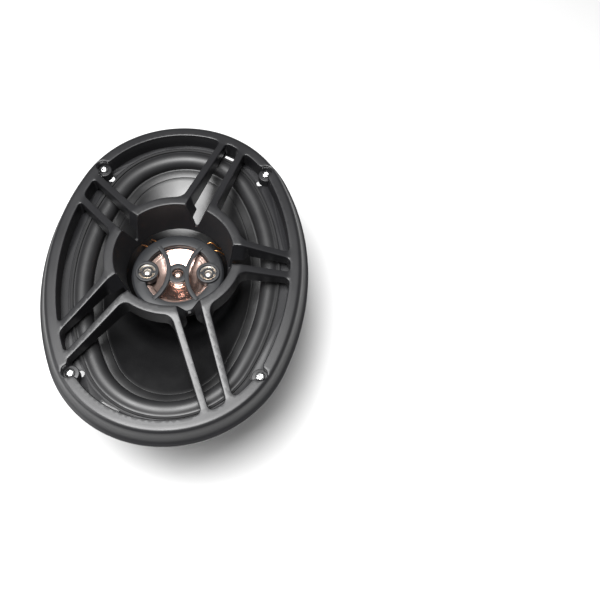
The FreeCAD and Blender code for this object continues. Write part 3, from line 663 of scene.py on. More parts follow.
def star_loop():
    """The collar's mouth with the five channels between paired spokes opening off it."""
    runs, sizes = [], []
    for number, pair in enumerate(PAIRS):
        axis = heading(math.radians(pair[0]))
        aside = across_of(axis)
        along = math.sqrt(COLLAR_IN**2 - SLIT_TOP**2)
        mouth = [axis*along + aside*(side*SLIT_TOP) for side in (-1, 1)]
        near, far = Spoke(pair, -1), Spoke(pair, 1)
        hub_near, ring_near = near.face(-SPOKE_HALF, COLLAR_OUT)
        hub_far, ring_far = far.face(-SPOKE_HALF, COLLAR_OUT)
        runs += [straight(mouth[0], hub_near, 0.8), straight(hub_near, ring_near),
                 ring_run(ring_near, ring_far), straight(ring_far, hub_far),
                 straight(hub_far, mouth[1], 0.8)]
        sizes += [TURN_AT_HUB, TURN_AT_END, TURN_AT_END, TURN_AT_HUB, TURN_AT_MOUTH]
        half = math.asin(SLIT_TOP/COLLAR_IN)
        start = math.radians(pair[0]) + half
        runs.append(circle_run(CENTRE, COLLAR_IN, start,
                               math.radians(pair[0] + SECTOR) - half, 0.9))
        sizes.append(TURN_AT_MOUTH)
    return blended_loop(runs, sizes)


def eased(share):
    """A share held between 0 and 1, with a soft start and a soft end."""
    share = min(1.0, max(0.0, share))
    return share*share*(3 - 2*share)


def climb(from_ring, from_collar):
    """How far a point is on its way from the ring to the collar, from 0 to 1."""
    inward, outward = max(0.0, -from_ring), max(0.0, from_collar)
    return inward/(inward + outward) if inward + outward else 0.0


def front_height(point):
    """The height of the grille's front face over a point in plan."""
    out = RING.beyond(point.x, point.y)
    if out > FACE:
        return RING_TOP - SHOULDER + math.sqrt(max(0.0, SHOULDER**2 - (out - FACE)**2))
    share = climb(out, point.length - COLLAR_FOOT)
    if share < EASY_START:
        share = share*share/(2*EASY_START)
    else:
        share = (share - EASY_START/2)/(1 - EASY_START/2)
    return RING_TOP + (COLLAR_TOP - RING_TOP)*share


def back_height(point):
    """The height of the grille's underside over a point in plan."""
    out = RING.beyond(point.x, point.y)
    angle = math.degrees(math.atan2(point.y, point.x)) % 360
    right = angle < SECTOR/2 or angle > 360 - SECTOR/2
    under = PAIRS[0][3] if right else PAIRS[1][3]
    rib = SPOKE_FOOT + (under - SPOKE_FOOT)*climb(out, point.length - COLLAR_OUT)
    rib += (FLANGE_TOP - rib)*eased((out + 2.4)/2.0)
    return rib + (COLLAR_UNDER - rib)*eased((49.5 - point.length)/3.0)


def slit_lean(point, drop):
    """How far the star's wall leans in by the time it has dropped this much."""
    radius = point.length
    if radius > LEAN_OUT:
        return CENTRE.copy()
    sector = round(math.degrees(math.atan2(point.y, point.x))/SECTOR)
    axis = heading(math.radians(SECTOR*sector))
    aside = across_of(axis)
    off = point.dot(aside)
    slope = (SLIT_TOP - SLIT_APEX)/(COLLAR_TOP - SLIT_FOOT)
    grip = eased(LEAN_ASIDE - abs(off))*eased((LEAN_OUT - radius)/3.5)
    shift = aside*(-math.copysign(slope*drop*grip, off))
    return shift - point.normalized()*(COLLAR_DRAFT*drop*eased((41.5 - radius)/1.5))


def inward_normals(loop, hole):
    """Unit vectors from an outline into the material beside it."""
    area = sum(a.x*b.y - b.x*a.y for a, b in zip(loop, loop[1:] + loop[:1]))
    sign = -1 if (area > 0) == hole else 1
    normals = []
    for index, point in enumerate(loop):
        chord = loop[(index + 1) % len(loop)] - loop[index - 1]
        normals.append(across_of(chord.normalized())*sign)
    return normals


def inside(points, loop):
    """Which of many points lie inside an outline."""
    x, y = points[:, 0], points[:, 1]
    found = np.zeros(len(points), bool)
    for one, two in zip(loop, loop[1:] + loop[:1]):
        spans = (one.y > y) != (two.y > y)
        if one.y != two.y:
            found ^= spans & (x < (two.x - one.x)*(y - one.y)/(two.y - one.y) + one.x)
    return found


def fill_points(rim, loops, edge):
    """Points spread over the plate's face, clear of its outlines."""
    tree = KDTree(sum(len(loop) for loop in loops) + len(rim))
    for number, point in enumerate([point for loop in loops for point in loop] + rim):
        tree.insert((point.x, point.y, 0), number)
    tree.balance()
    found = []
    for out in FACE_RINGS:
        found += [point + way*out for point, way in RING.track(300)]
    for row in range(-64, 65):
        for column in range(-46, 47):
            spot = Vector(((column + 0.5*(row % 2))*PITCH, row*PITCH*PITCH_ROW))
            if RING.beyond(spot.x, spot.y) < 0.3:
                found.append(spot)
    grid = np.array([tuple(point) for point in found])
    keep = np.ones(len(found), bool)
    for loop in loops:
        keep &= ~inside(grid, loop)
    kept = []
    for spot, good in zip(found, keep):
        if good and tree.find((spot.x, spot.y, 0))[2] > edge:
            kept.append(spot)
    return kept


def grille_plate(edge):
    """Ring, spokes and collar as one closed moulding with rounded front edges."""
    holes = [gap_loop(number) for number in range(len(PAIRS))] + [star_loop()]
    rim = [point + way*PLATE_EDGE for point, way in RING.track(420)]
    ways = [way for _, way in RING.track(420)]
    loops = []
    insets = []
    for number, loop in enumerate(holes):
        normals = inward_normals(loop, hole=True)
        insets.append([point + normal*edge for point, normal in zip(loop, normals)])
        rows = [[(point + normal*(edge*(1 - math.cos(turn))),
                  front_height(point + normal*edge) - edge*(1 - math.sin(turn)))
                 for point, normal in zip(loop, normals)]
                for turn in QUARTER_ROUND]
        for share in (0.33, 0.66, 1.0):
            row = []
            for point, (_, top) in zip(loop, rows[3]):
                drop = (top - back_height(point))*share
                star = number == len(PAIRS)
                place = point + slit_lean(point, drop) if star else point.copy()
                out = RING.beyond(point.x, point.y)
                if share == 1.0 and out > 0.3:
                    place -= drawn_in(point, out)
                row.append((place, top - drop))
            rows.append(row)
        loops.append(rows)
    rows = [[(point, front_height(point)) for point in rim]]
    base = [point - way*PLATE_EDGE for point, way in zip(rim, ways)]
    for out, height in rim_outline():
        rows.append([(point + way*out, height) for point, way in zip(base, ways)])
    loops.append(rows)
    spots = fill_points(rim, insets, FACE_CLEAR)
    return sewn_plate(loops, insets + [rim], [(spot, *over_and_under(spot)) for spot in spots])


def drawn_in(spot, out):
    """How far the ring's foot stands inside a spot this far out on its face."""
    return (spot - RING.at(math.atan2(spot.y, spot.x))).normalized()*FOOT_DRAW*out


def over_and_under(spot):
    """The front and back points of the grille over a spot in plan."""
    out = max(0.0, RING.beyond(spot.x, spot.y))
    low = spot
    if out > 0.01:
        low = spot - drawn_in(spot, out)
    return (spot.x, spot.y, front_height(spot)), (low.x, low.y, back_height(spot))


def rim_outline():
    """The ring's outside below the face: shoulder, steep band, cove, flared lip, hollow back."""
    turn = math.radians(64)
    outline = [(FACE + SHOULDER*math.sin(turn), RING_TOP - SHOULDER + SHOULDER*math.cos(turn))]
    outline += [(8.86, 90.8), (9.14, 89.8), (9.36, 88.8), (9.62, 87.6), (9.95, 86.4),
                (10.4, 85.2), (11.0, 84.1), (11.75, 83.2), (12.5, 82.6), (13.0, 82.3)]
    outline += [(13.25, 82.1), (13.37, 81.85), (13.4, 81.5), (13.4, 80.8), (13.25, 80.4),
                (12.9, 80.2), (12.3, 80.2), (11.9, 80.4), (11.7, 80.8), (10.4, 82.6),
                (8.6, 84.4), (5.6, 84.6), (5.3, 84.4), (PLATE_EDGE*0.62, FLANGE_TOP)]
    return outline


def sewn_plate(loops, faces_at, extra):
    """Close a plate: front and back caps share one triangulation, walls join them."""
    points, rings, cells = [], [], []
    for rows in loops:
        made = laid(rows, points)
        rings.append(made)
        cells += strips(made, closed=False)
    flat, edges, front, back = [], [], [], []
    for made, outline in zip(rings, faces_at):
        first = len(flat)
        flat += [Vector((point.x, point.y)) for point in outline]
        edges += [(first + index, first + (index + 1) % len(outline))
                  for index in range(len(outline))]
        front += made[0]
        back += made[-1]
    for spot, over, under in extra:
        flat.append(spot)
        front.append(len(points))
        back.append(len(points) + 1)
        points += [over, under]
    places, _, triangles, origin, _, _ = delaunay_2d_cdt(flat, edges, [], 0, 1e-5)
    middles = np.array([sum((places[index] for index in triangle), Vector((0, 0)))/3
                        for triangle in triangles])
    keep = inside(middles, faces_at[-1])
    for outline in faces_at[:-1]:
        keep &= ~inside(middles, outline)
    for triangle, good in zip(triangles, keep):
        if good:
            source = [origin[index][0] for index in triangle]
            cells.append([front[index] for index in source])
            cells.append([back[index] for index in reversed(source)])
    return points, cells


def slab(outline, holes, low, high, edge, bevel=0.0):
    """A flat moulding with rounded front edges; the outside may have a wide bevel instead."""
    loops, insets = [], []
    for number, loop in enumerate(holes + [outline]):
        outside = number == len(holes)
        normals = inward_normals(loop, hole=not outside)
        size = bevel if outside and bevel else edge
        if outside and bevel:
            profile = [(size, 0.0), (size*0.8, size*0.12), (0.15, size*0.85), (0.0, size + 0.15)]
        else:
            profile = [(size*(1 - math.cos(turn)), size*(1 - math.sin(turn)))
                       for turn in QUARTER_ROUND]
        rows = [[(point + normal*inset, high - drop) for point, normal in zip(loop, normals)]
                for inset, drop in profile]
        rows.append([(point, low + 0.2) for point in loop])
        rows.append([(point + normal*0.2, low) for point, normal in zip(loop, normals)])
        insets.append([place for place, _ in rows[0]])
        loops.append(rows)
    return sewn_plate(loops, insets, [])


def funnel():
    """The thin cone below the collar: five leaves with V-shaped slits, and a ring below."""
    top = COLLAR_TOP - 0.8
    slope = (COLLAR_IN - FUNNEL_IN)/(top - FUNNEL_LOW)
    spread = (SLIT_TOP - SLIT_APEX)/(COLLAR_TOP - SLIT_FOOT)
    heights = [top - (top - SLIT_FOOT)*step/FUNNEL_STEPS for step in range(FUNNEL_STEPS + 1)]
    shapes = []
    for number in range(len(PAIRS)):
        outline = [(0.0, height) for height in heights]
        outline += [(FUNNEL_WALL, height) for height in heights[::-1]]
        points, rings = [], []
        for wall, height in outline:
            radius = FUNNEL_IN + slope*(height - FUNNEL_LOW)
            half = math.asin((SLIT_APEX + spread*(height - SLIT_FOOT) + 0.02)/radius)
            first = math.radians(SECTOR*number) + half
            last = math.radians(SECTOR*number + SECTOR) - half
            rings += laid([[(heading(first + (last - first)*step/LEAF_STEPS)*(radius + wall),
                             height) for step in range(LEAF_STEPS + 1)]], points)
        faces = []
        for low, high in zip(rings, rings[1:] + rings[:1]):
            faces += [[low[step], low[step + 1], high[step + 1], high[step]]
                      for step in range(LEAF_STEPS)]
        for end in (0, LEAF_STEPS):
            faces += [[rings[row][end], rings[row + 1][end], rings[-2 - row][end],
                       rings[-1 - row][end]] for row in range(FUNNEL_STEPS)]
        shapes.append((points, faces))
    rim = FUNNEL_IN + slope*(SLIT_FOOT - FUNNEL_LOW)
    shapes.append(lathe(rounded([
        (rim, SLIT_FOOT), (FUNNEL_IN, FUNNEL_LOW, 0.7), (FUNNEL_IN + FUNNEL_WALL, FUNNEL_LOW, 0.7),
        (rim + FUNNEL_WALL, SLIT_FOOT)]), 150))
    return shapes


def screw_bosses():
    """The cups in the ring that the screws stand in."""
    return [lathe(rounded([(0, FLANGE_TOP), (BOSS, FLANGE_TOP), (BOSS, POCKET_FLOOR, 0.5),
                           (0, POCKET_FLOOR)]), 48, sx*SCREW_AT[0], sy*SCREW_AT[1])
            for sx, sy in CORNERS]


# ---------------------------------------------------------------- what a user may change

def length(name, text, size):
    """A size that a user may change, given in millimetres."""
    return FloatProperty(name=name, description=text, default=size*MM, unit="LENGTH",
                         precision=5)


def colour(name, text, code):
    """A colour that a user may change, given as sRGB hex."""
    return FloatVectorProperty(name=name, description=text, default=paint(code), size=4,
                               subtype="COLOR", min=0.0, max=1.0)


class SpeakerSizes(PropertyGroup):
    """Sizes of the visible details."""
    edge: length("Edge round", "Radius on the grille's front edges", 0.7)
    roll: length("Roll height", "How far the surround's roll stands above its edges", 5.0)
    wave: length("Spider wave", "Height of the spider's corrugations", 1.3)
    screw_head: length("Screw head", "Radius of a grille screw's head", 3.1)


class SpeakerColours(PropertyGroup):
    """Colours of the floor and of each finish."""
    floor: colour("Floor", "Colour of the ground sheet", "#C4C4C4")
    grille_plastic: colour("Grille", "Moulded ABS of the grille", "#111113")
    flange_steel: colour("Basket", "Powder coat on the basket and flange", "#131315")
    gasket_foam: colour("Gaskets", "Foam of both gaskets", "#121213")
    surround_rubber: colour("Surround", "Rubber of the half-roll", "#1B1B1C")
    cone_poly: colour("Cone", "Polypropylene of the cone", "#080809")
    spider_cloth: colour("Spider", "Resin-set cotton of the spider", "#A9854C")
    former_foil: colour("Former", "Foil of the coil's former", "#D4D5D6")
    winding_copper: colour("Winding", "Wire of the voice coil", "#B5673C")
    motor_steel: colour("Motor steel", "Plates, pole piece and stem", "#A7A9AA")
    magnet_ferrite: colour("Magnet", "Ferrite ring", "#3A3B3D")
    boot_rubber: colour("Boot", "Rubber boot over the magnet", "#1D1D1E")
    screw_zinc: colour("Screws", "Zinc plating of screws, nut and blades", "#DCDDDD")
    pod_plastic: colour("Pod", "Painted ABS of the pod", "#1C1D1F")
    midrange_metal: colour("Midrange", "Anodised dish of the midrange", "#E6C8BC")
    # the warm tint of this near-white is a painted reflection of the tweeters' surroundings, not
    # the metal's own colour
    tweeter_metal: colour("Tweeters", "Polished horns and domes", "#E9E2DA")
    board_resin: colour("Terminal board", "Phenolic board", "#2C211B")
    lead_copper: colour("Leads", "Braided tinsel leads", "#F0A468")
    capacitor_film: colour("Capacitor", "Epoxy dip of the capacitor", "#8C2F1E")


# ---------------------------------------------------------------- floor, light and camera

FLOOR_REACH, WORLD_LIGHT = 3.0, 0.26
# name, place in metres, size in metres, power in watts
LAMPS = (("overhead", (-0.15, -0.10, 1.1), 0.65, 34.0), ("left", (-0.9, -0.35, 0.5), 0.6, 4.0))
LAMPS_AIM = Vector((0, 0, 0.09))
LENS, SENSOR = 42.0, 36.0
CAMERA_AT = (0.06392, -0.2498, 0.50666)
CAMERA_TURN = Matrix(((0.9987, -0.02328, -0.04533), (-0.00095, 0.88088, -0.47334),
                      (0.05095, 0.47277, 0.87971)))


class SPEAKER_OT_stage(Operator):
    """Floor, light and camera"""
    bl_idname = "speaker.stage"
    bl_label = "Stage"

    def execute(self, context):
        scene = context.scene
        scene.view_settings.view_transform = "Standard"
        mesh = bpy.data.meshes.new("floor")
        mesh.from_pydata([(x*FLOOR_REACH, y*FLOOR_REACH, 0) for x, y in
                          ((-1, -1), (1, -1), (1, 1), (-1, 1))], [], [(0, 1, 2, 3)])
        floor = bpy.data.objects.new("floor", mesh)
        scene.collection.objects.link(floor)
        mesh.materials.append(surface("studio_paper", scene.speaker_colours.floor, 0.9, 0.02,
                                      grain=1.0, relief=0.01, mottle=200, shade=0.01))
        world = bpy.data.worlds.new("studio")
        world.use_nodes = True
        backdrop = world.node_tree.nodes["Background"]
        backdrop.inputs["Color"].default_value = paint("#FFFFFF")
        backdrop.inputs["Strength"].default_value = WORLD_LIGHT
        scene.world = world
        for name, place, size, power in LAMPS:
            lamp = bpy.data.lights.new(name, "AREA")
            lamp.size, lamp.energy = size, power
            thing = bpy.data.objects.new(name, lamp)
            aim = (LAMPS_AIM - Vector(place)).to_track_quat("-Z", "Y")
            thing.matrix_world = Matrix.Translation(place) @ aim.to_matrix().to_4x4()
            scene.collection.objects.link(thing)
        eye = bpy.data.cameras.new("camera")
        eye.lens, eye.sensor_width = LENS, SENSOR
        camera = bpy.data.objects.new("camera", eye)
        camera.matrix_world = Matrix.Translation(CAMERA_AT) @ CAMERA_TURN.to_4x4()
        scene.collection.objects.link(camera)
        scene.camera = camera
        return {"FINISHED"}


# ---------------------------------------------------------------- grille and screws

class SPEAKER_OT_grille(Operator):
    """Ring, spokes, collar, funnel and screw bosses"""
    bl_idname = "speaker.grille"
    bl_label = "Grille"

    def execute(self, context):
        edge = context.scene.speaker_sizes.edge/MM
        points, faces = together(grille_plate(edge), *funnel(), *screw_bosses())
        settle(new_object("grille_moulding", points, faces), "grille_plastic", "speaker",
               ["grille"])
        return {"FINISHED"}


class SPEAKER_OT_screws(Operator):
    """Four cross-head screws in the grille's pockets"""
    bl_idname = "speaker.screws"
    bl_label = "Screws"

    def execute(self, context):
        head = context.scene.speaker_sizes.screw_head/MM
        one = new_object("grille_screws", *cross_head_screw(head))
        tree = new_tree("screws_at_corners", (("Spread X", "NodeSocketFloat", 0.1),
                                              ("Spread Y", "NodeSocketFloat", 0.1)))
        source = tree.nodes["source"].outputs
        corners = add_node(tree, "GeometryNodeMeshGrid", {
            "Size X": source["Spread X"], "Size Y": source["Spread Y"],
            "Vertices X": 2, "Vertices Y": 2})
        turn = add_node(tree, "FunctionNodeRandomValue", {
            "Max": (0.0, 0.0, FULL_TURN), "Seed": 7}, data_type="FLOAT_VECTOR")
        spread = add_node(tree, "GeometryNodeInstanceOnPoints", {
            "Points": corners.outputs["Mesh"], "Instance": source["Geometry"],
            "Rotation": turn.outputs[0]})
        end_tree(tree, spread.outputs[0], "screw_zinc")
        run_tree(one, tree, {"Spread X": 2*SCREW_AT[0]*MM, "Spread Y": 2*SCREW_AT[1]*MM})
        settle(plain(one), "screw_zinc", "speaker",
               ["grille_screw_%d" % number for number in (1, 2, 3, 4)], smooth=50)
        return {"FINISHED"}


HEAD_RISE, HEAD_ROUND, HEAD_CROWN, SHANK = 2.2, 1.2, 0.126, 1.9
RECESS_DEPTH, RECESS_HALF, RECESS_REACH = 1.1, 0.62, 1.75


def cross_head_screw(head):
    """A pan-head screw with a cross recess, standing on the pocket's floor."""
    top = POCKET_FLOOR + HEAD_RISE
    shoulder = top - HEAD_ROUND
    outline = [(0.0, FLANGE_TOP - 1.0), (SHANK - 0.3, FLANGE_TOP - 1.0),
               (SHANK, FLANGE_TOP - 0.6), (SHANK, POCKET_FLOOR + 0.05),
               (head - 0.2, POCKET_FLOOR + 0.05), (head, POCKET_FLOOR + 0.3), (head, shoulder)]
    outline += [(head*math.cos(math.radians(turn)),
                 shoulder + HEAD_ROUND*math.sin(math.radians(turn))) for turn in (18, 36, 50, 62)]
    crown = outline[-1][0]
    outline += [(crown*(1 - step/15), top - HEAD_CROWN*(1 - step/15)**2)
                for step in range(1, 16)]
    points, faces = lathe(outline, 64)
    sunk = []
    for x, y, height in points:
        near, far = sorted((abs(x), abs(y)))
        if height > top - 0.3:
            height -= (RECESS_DEPTH*eased((RECESS_HALF - near)/0.3)
                       * eased((RECESS_REACH - far)/0.35))
        sunk.append((x, y, height))
    return sunk, faces


def new_tree(name, sizes):
    """An empty geometry tree with a geometry input, named sizes and a geometry output."""
    tree = bpy.data.node_groups.new(name, "GeometryNodeTree")
    tree.interface.new_socket("Geometry", in_out="INPUT", socket_type="NodeSocketGeometry")
    for label, kind, start in sizes:
        socket = tree.interface.new_socket(label, in_out="INPUT", socket_type=kind)
        socket.default_value = start
    tree.interface.new_socket("Geometry", in_out="OUTPUT", socket_type="NodeSocketGeometry")
    add_node(tree, "NodeGroupInput", name="source")
    add_node(tree, "NodeGroupOutput", name="given")
    return tree


def end_tree(tree, geometry, slot):
    """Close a tree with its real geometry and its finish."""
    real = add_node(tree, "GeometryNodeRealizeInstances", {"Geometry": geometry})
    named = add_node(tree, "GeometryNodeSetMaterial", {"Geometry": real.outputs[0],
                                                      "Material": finish_for(slot)})
    tree.links.new(named.outputs[0], tree.nodes["given"].inputs[0])


def run_tree(thing, tree, sizes):
    """Put a tree on an object, each size set by its socket's identifier."""
    modifier = thing.modifiers.new(tree.name, "NODES")
    modifier.node_group = tree
    for item in tree.interface.items_tree:
        if item.in_out == "INPUT" and item.name in sizes:
            modifier[item.identifier] = sizes[item.name]


# ---------------------------------------------------------------- cone and suspension

CONE = Oval(52.0, 88.5, 48.65)
NECK, CONE_FOOT, CONE_EDGE, CONE_WALL, BAND = 19.6, 50.8, 74.0, 0.8, 6.4
ROLL_IN, ROLL_OUT, ROLL_WALL = 6.9, 16.9, 0.5
BAND_FOOT, CONE_CROWN, CONE_STEPS = 1.4, 0.5, 30
SPIDER_IN, SPIDER_OUT, SPIDER_LOW, SPIDER_WAVES, SPIDER_WALL = 19.25, 50.9, 45.05, 5.0, 0.4


class SPEAKER_OT_cone(Operator):
    """The cone with its outer band, on the voice coil's former"""
    bl_idname = "speaker.cone"
    bl_label = "Cone"

    def execute(self, context):
        track = CONE.track(300)
        over = []
        for step in range(CONE_STEPS + 1):
            share = step/CONE_STEPS
            crown = CONE_CROWN*math.sin(math.pi*share)
            over.append([(place, CONE_FOOT + (CONE_EDGE - BAND_FOOT - CONE_FOOT)*share + crown)
                         for place in [(heading(math.atan2(point.y, point.x))*NECK).lerp(
                             point - way*0.5, share) for point, way in track]])
        for out, height in ((0.0, CONE_EDGE - 1.37), (0.25, CONE_EDGE - 1.1),
                            (0.5, CONE_EDGE - 1.0), (3.0, CONE_EDGE - 0.48), (5.3, CONE_EDGE),
                            (BAND - 0.2, CONE_EDGE), (BAND, CONE_EDGE - 0.2)):
            over.append([(point + way*out, height) for point, way in track])
        under = [[(place, height - CONE_WALL) for place, height in row] for row in over[::-1]]
        thing = new_object("cone_body", *closed_shape(over + under))
        # laid out so that the drawing marks follow the cone's own oval
        lay = thing.data.uv_layers.new(name="lay")
        for loop in thing.data.loops:
            place = thing.data.vertices[loop.vertex_index].co
            lay.data[loop.index].uv = (math.atan2(place.y, place.x)*0.05,
                                       Vector((place.x/0.6, place.y)).length)
        settle(thing, "cone_poly", "cone_assembly", ["cone"])
        return {"FINISHED"}


def smooth_line(line, rounds):
    """Relax a line of (outward, height), its ends held."""
    for _ in range(rounds):
        line = [line[0]] + [((one[0] + 2*two[0] + three[0])/4, (one[1] + 2*two[1] + three[1])/4)
                            for one, two, three in zip(line, line[1:], line[2:])] + [line[-1]]
    return line


def crossfade(thing, weigh):
    """Bake a piece's placement into its mesh and weigh each vertex between the fixed frame and the
    cone by its own rule; the weights are not applied.
    """
    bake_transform(thing)
    weights = [weigh(vertex.co.x/MM, vertex.co.y/MM) for vertex in thing.data.vertices]


class SPEAKER_OT_surround(Operator):
    """The rubber half-roll between the cone and the flange"""
    bl_idname = "speaker.surround"
    bl_label = "Surround"

    def execute(self, context):
        roll = context.scene.speaker_sizes.roll/MM
        start, end = Vector((ROLL_IN, CONE_EDGE + 0.15)), Vector((ROLL_OUT, FLANGE_TOP + 0.1))
        chord = end - start
        up = Vector((-chord.y, chord.x)).normalized()
        bend = (chord.length_squared/4 + roll*roll)/(2*roll)
        middle = (start + end)/2 + up*(roll - bend)
        first = math.atan2(*reversed(start - middle))
        last = math.atan2(*reversed(end - middle))
        if first < last:
            first += FULL_TURN
        arch = [middle + heading(first + (last - first)*step/26)*bend for step in range(27)]
        over = [(5.4, CONE_EDGE + 0.15), (5.9, CONE_EDGE + 0.18), (6.4, CONE_EDGE + 0.16)]
        over += [tuple(point) for point in arch]
        over += [(17.3, FLANGE_TOP + 0.12), (17.8, FLANGE_TOP + 0.12)]
        over = smooth_line(over, 3)
        under = [(out, height - ROLL_WALL) for out, height in over[::-1]]
        thing = new_object("surround_roll", *sweep(CONE.track(320), over + under))
        settle(thing, "surround_rubber", None, ["surround"])
        crossfade(thing, lambda x, y: eased((ROLL_OUT - CONE.beyond(x, y))
                                            / (ROLL_OUT - ROLL_IN)))
        return {"FINISHED"}


class SPEAKER_OT_spider(Operator):
    """The corrugated cloth disc that centres the coil"""
    bl_idname = "speaker.spider"
    bl_label = "Spider"

    def execute(self, context):
        mesh = bpy.data.meshes.new("spider_disc")
        thing = bpy.data.objects.new("spider_disc", mesh)
        context.scene.collection.objects.link(thing)
        names = ("Inner", "Outer", "Height", "Wave", "Waves")
        tree = new_tree("corrugated_disc", [(name, "NodeSocketFloat", 1.0) for name in names])
        source = tree.nodes["source"].outputs
        grid = add_node(tree, "GeometryNodeMeshGrid", {
            "Size X": 1.0, "Size Y": 1.0, "Vertices X": 145, "Vertices Y": 73})
        place = add_node(tree, "ShaderNodeSeparateXYZ", {
            0: add_node(tree, "GeometryNodeInputPosition").outputs[0]}).outputs
        share = add_node(tree, "ShaderNodeMath", {0: place["Y"], 1: 0.5}).outputs[0]
        turn = add_node(tree, "ShaderNodeMath", {0: place["X"], 1: FULL_TURN},
                        operation="MULTIPLY").outputs[0]
        radius = add_node(tree, "ShaderNodeMapRange", {
            "Value": share, "To Min": source["Inner"], "To Max": source["Outer"]}).outputs[0]
        cycles = add_node(tree, "ShaderNodeMath", {0: share, 1: source["Waves"]},
                          operation="MULTIPLY").outputs[0]
        phase = add_node(tree, "ShaderNodeMath", {0: cycles, 1: FULL_TURN},
                         operation="MULTIPLY").outputs[0]
        swing = add_node(tree, "ShaderNodeMath", {0: phase}, operation="COSINE").outputs[0]
        lift = add_node(tree, "ShaderNodeMapRange", {
            "Value": swing, "From Min": 1.0, "From Max": -1.0, "To Min": source["Height"],
            "To Max": add_node(tree, "ShaderNodeMath", {
                0: source["Height"], 1: source["Wave"]}).outputs[0]}).outputs[0]
        sides = [add_node(tree, "ShaderNodeMath", {
            0: radius, 1: add_node(tree, "ShaderNodeMath", {0: turn},
                                   operation=kind).outputs[0]},
            operation="MULTIPLY").outputs[0] for kind in ("COSINE", "SINE")]
        spot = add_node(tree, "ShaderNodeCombineXYZ", {"X": sides[0], "Y": sides[1], "Z": lift})
        formed = add_node(tree, "GeometryNodeSetPosition", {
            "Geometry": grid.outputs[0], "Position": spot.outputs[0]})
        seam = add_node(tree, "GeometryNodeMergeByDistance", {
            "Geometry": formed.outputs[0], "Distance": 0.01*MM})
        end_tree(tree, seam.outputs[0], "spider_cloth")
        wave = context.scene.speaker_sizes.wave
        run_tree(thing, tree, {"Inner": SPIDER_IN*MM, "Outer": SPIDER_OUT*MM,
                               "Height": SPIDER_LOW*MM, "Wave": wave, "Waves": SPIDER_WAVES})
        cloth = thing.modifiers.new("cloth_thickness", "SOLIDIFY")
        cloth.thickness, cloth.offset = SPIDER_WALL*MM, 1.0
        settle(plain(thing), "spider_cloth", None, ["spider"], smooth=60)
        crossfade(thing, lambda x, y: eased((SPIDER_OUT - math.hypot(x, y))
                                            / (SPIDER_OUT - SPIDER_IN)))
        return {"FINISHED"}


# ---------------------------------------------------------------- basket, gaskets, motor

def softened(name, node, slot, body, edge, smooth=32.0, steps=2):
    """A CAD node's own shape with its sharp edges rounded."""
    grid = bmesh.new()
    grid.from_mesh(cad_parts[node].data)
    bmesh.ops.remove_doubles(grid, verts=grid.verts, dist=0.002*MM)
    bmesh.ops.dissolve_limit(grid, angle_limit=math.radians(0.6), verts=grid.verts,
                             edges=grid.edges, delimit={"NORMAL"})
    mesh = bpy.data.meshes.new(name)
    grid.to_mesh(mesh)
    grid.free()
    thing = bpy.data.objects.new(name, mesh)
    bpy.context.scene.collection.objects.link(thing)
    rounding = thing.modifiers.new("edge_rounding", "BEVEL")
    rounding.width, rounding.segments = edge*MM, steps
    rounding.limit_method, rounding.angle_limit = "ANGLE", math.radians(smooth)
    return settle(plain(thing), slot, body, [node], smooth)


class SPEAKER_OT_basket(Operator):
    """The pressed steel basket with its flange"""
    bl_idname = "speaker.basket"
    bl_label = "Basket"

    def execute(self, context):
        softened("pressed_basket", "basket", "flange_steel", "speaker", 0.3)
        return {"FINISHED"}


class SPEAKER_OT_gaskets(Operator):
    """The trim ring round the surround and the seal behind the flange"""
    bl_idname = "speaker.gaskets"
    bl_label = "Gaskets"

    def execute(self, context):
        for name, node, track, low, high, near, far, soft in (
                ("front_trim_ring", "front_gasket", CONE.track(300), FLANGE_TOP,
                 FLANGE_TOP + 1.4, 18.0, 19.7, 0.5),
                ("rear_foam_seal", "rear_gasket", RING.track(300), 78.0, 80.0, 0.0, 4.0, 0.7)):
            outline = rounded([(near, low, 0.3), (far, low, 0.3), (far, high, soft),
                               (near, high, soft)])
            thing = new_object(name, *sweep(track, outline))
            settle(thing, "gasket_foam", "speaker", [node])
        return {"FINISHED"}


COIL_LOW, COIL_TOP, COIL_PITCH, COIL_TURNS = 23.0, 35.0, 0.5, 24


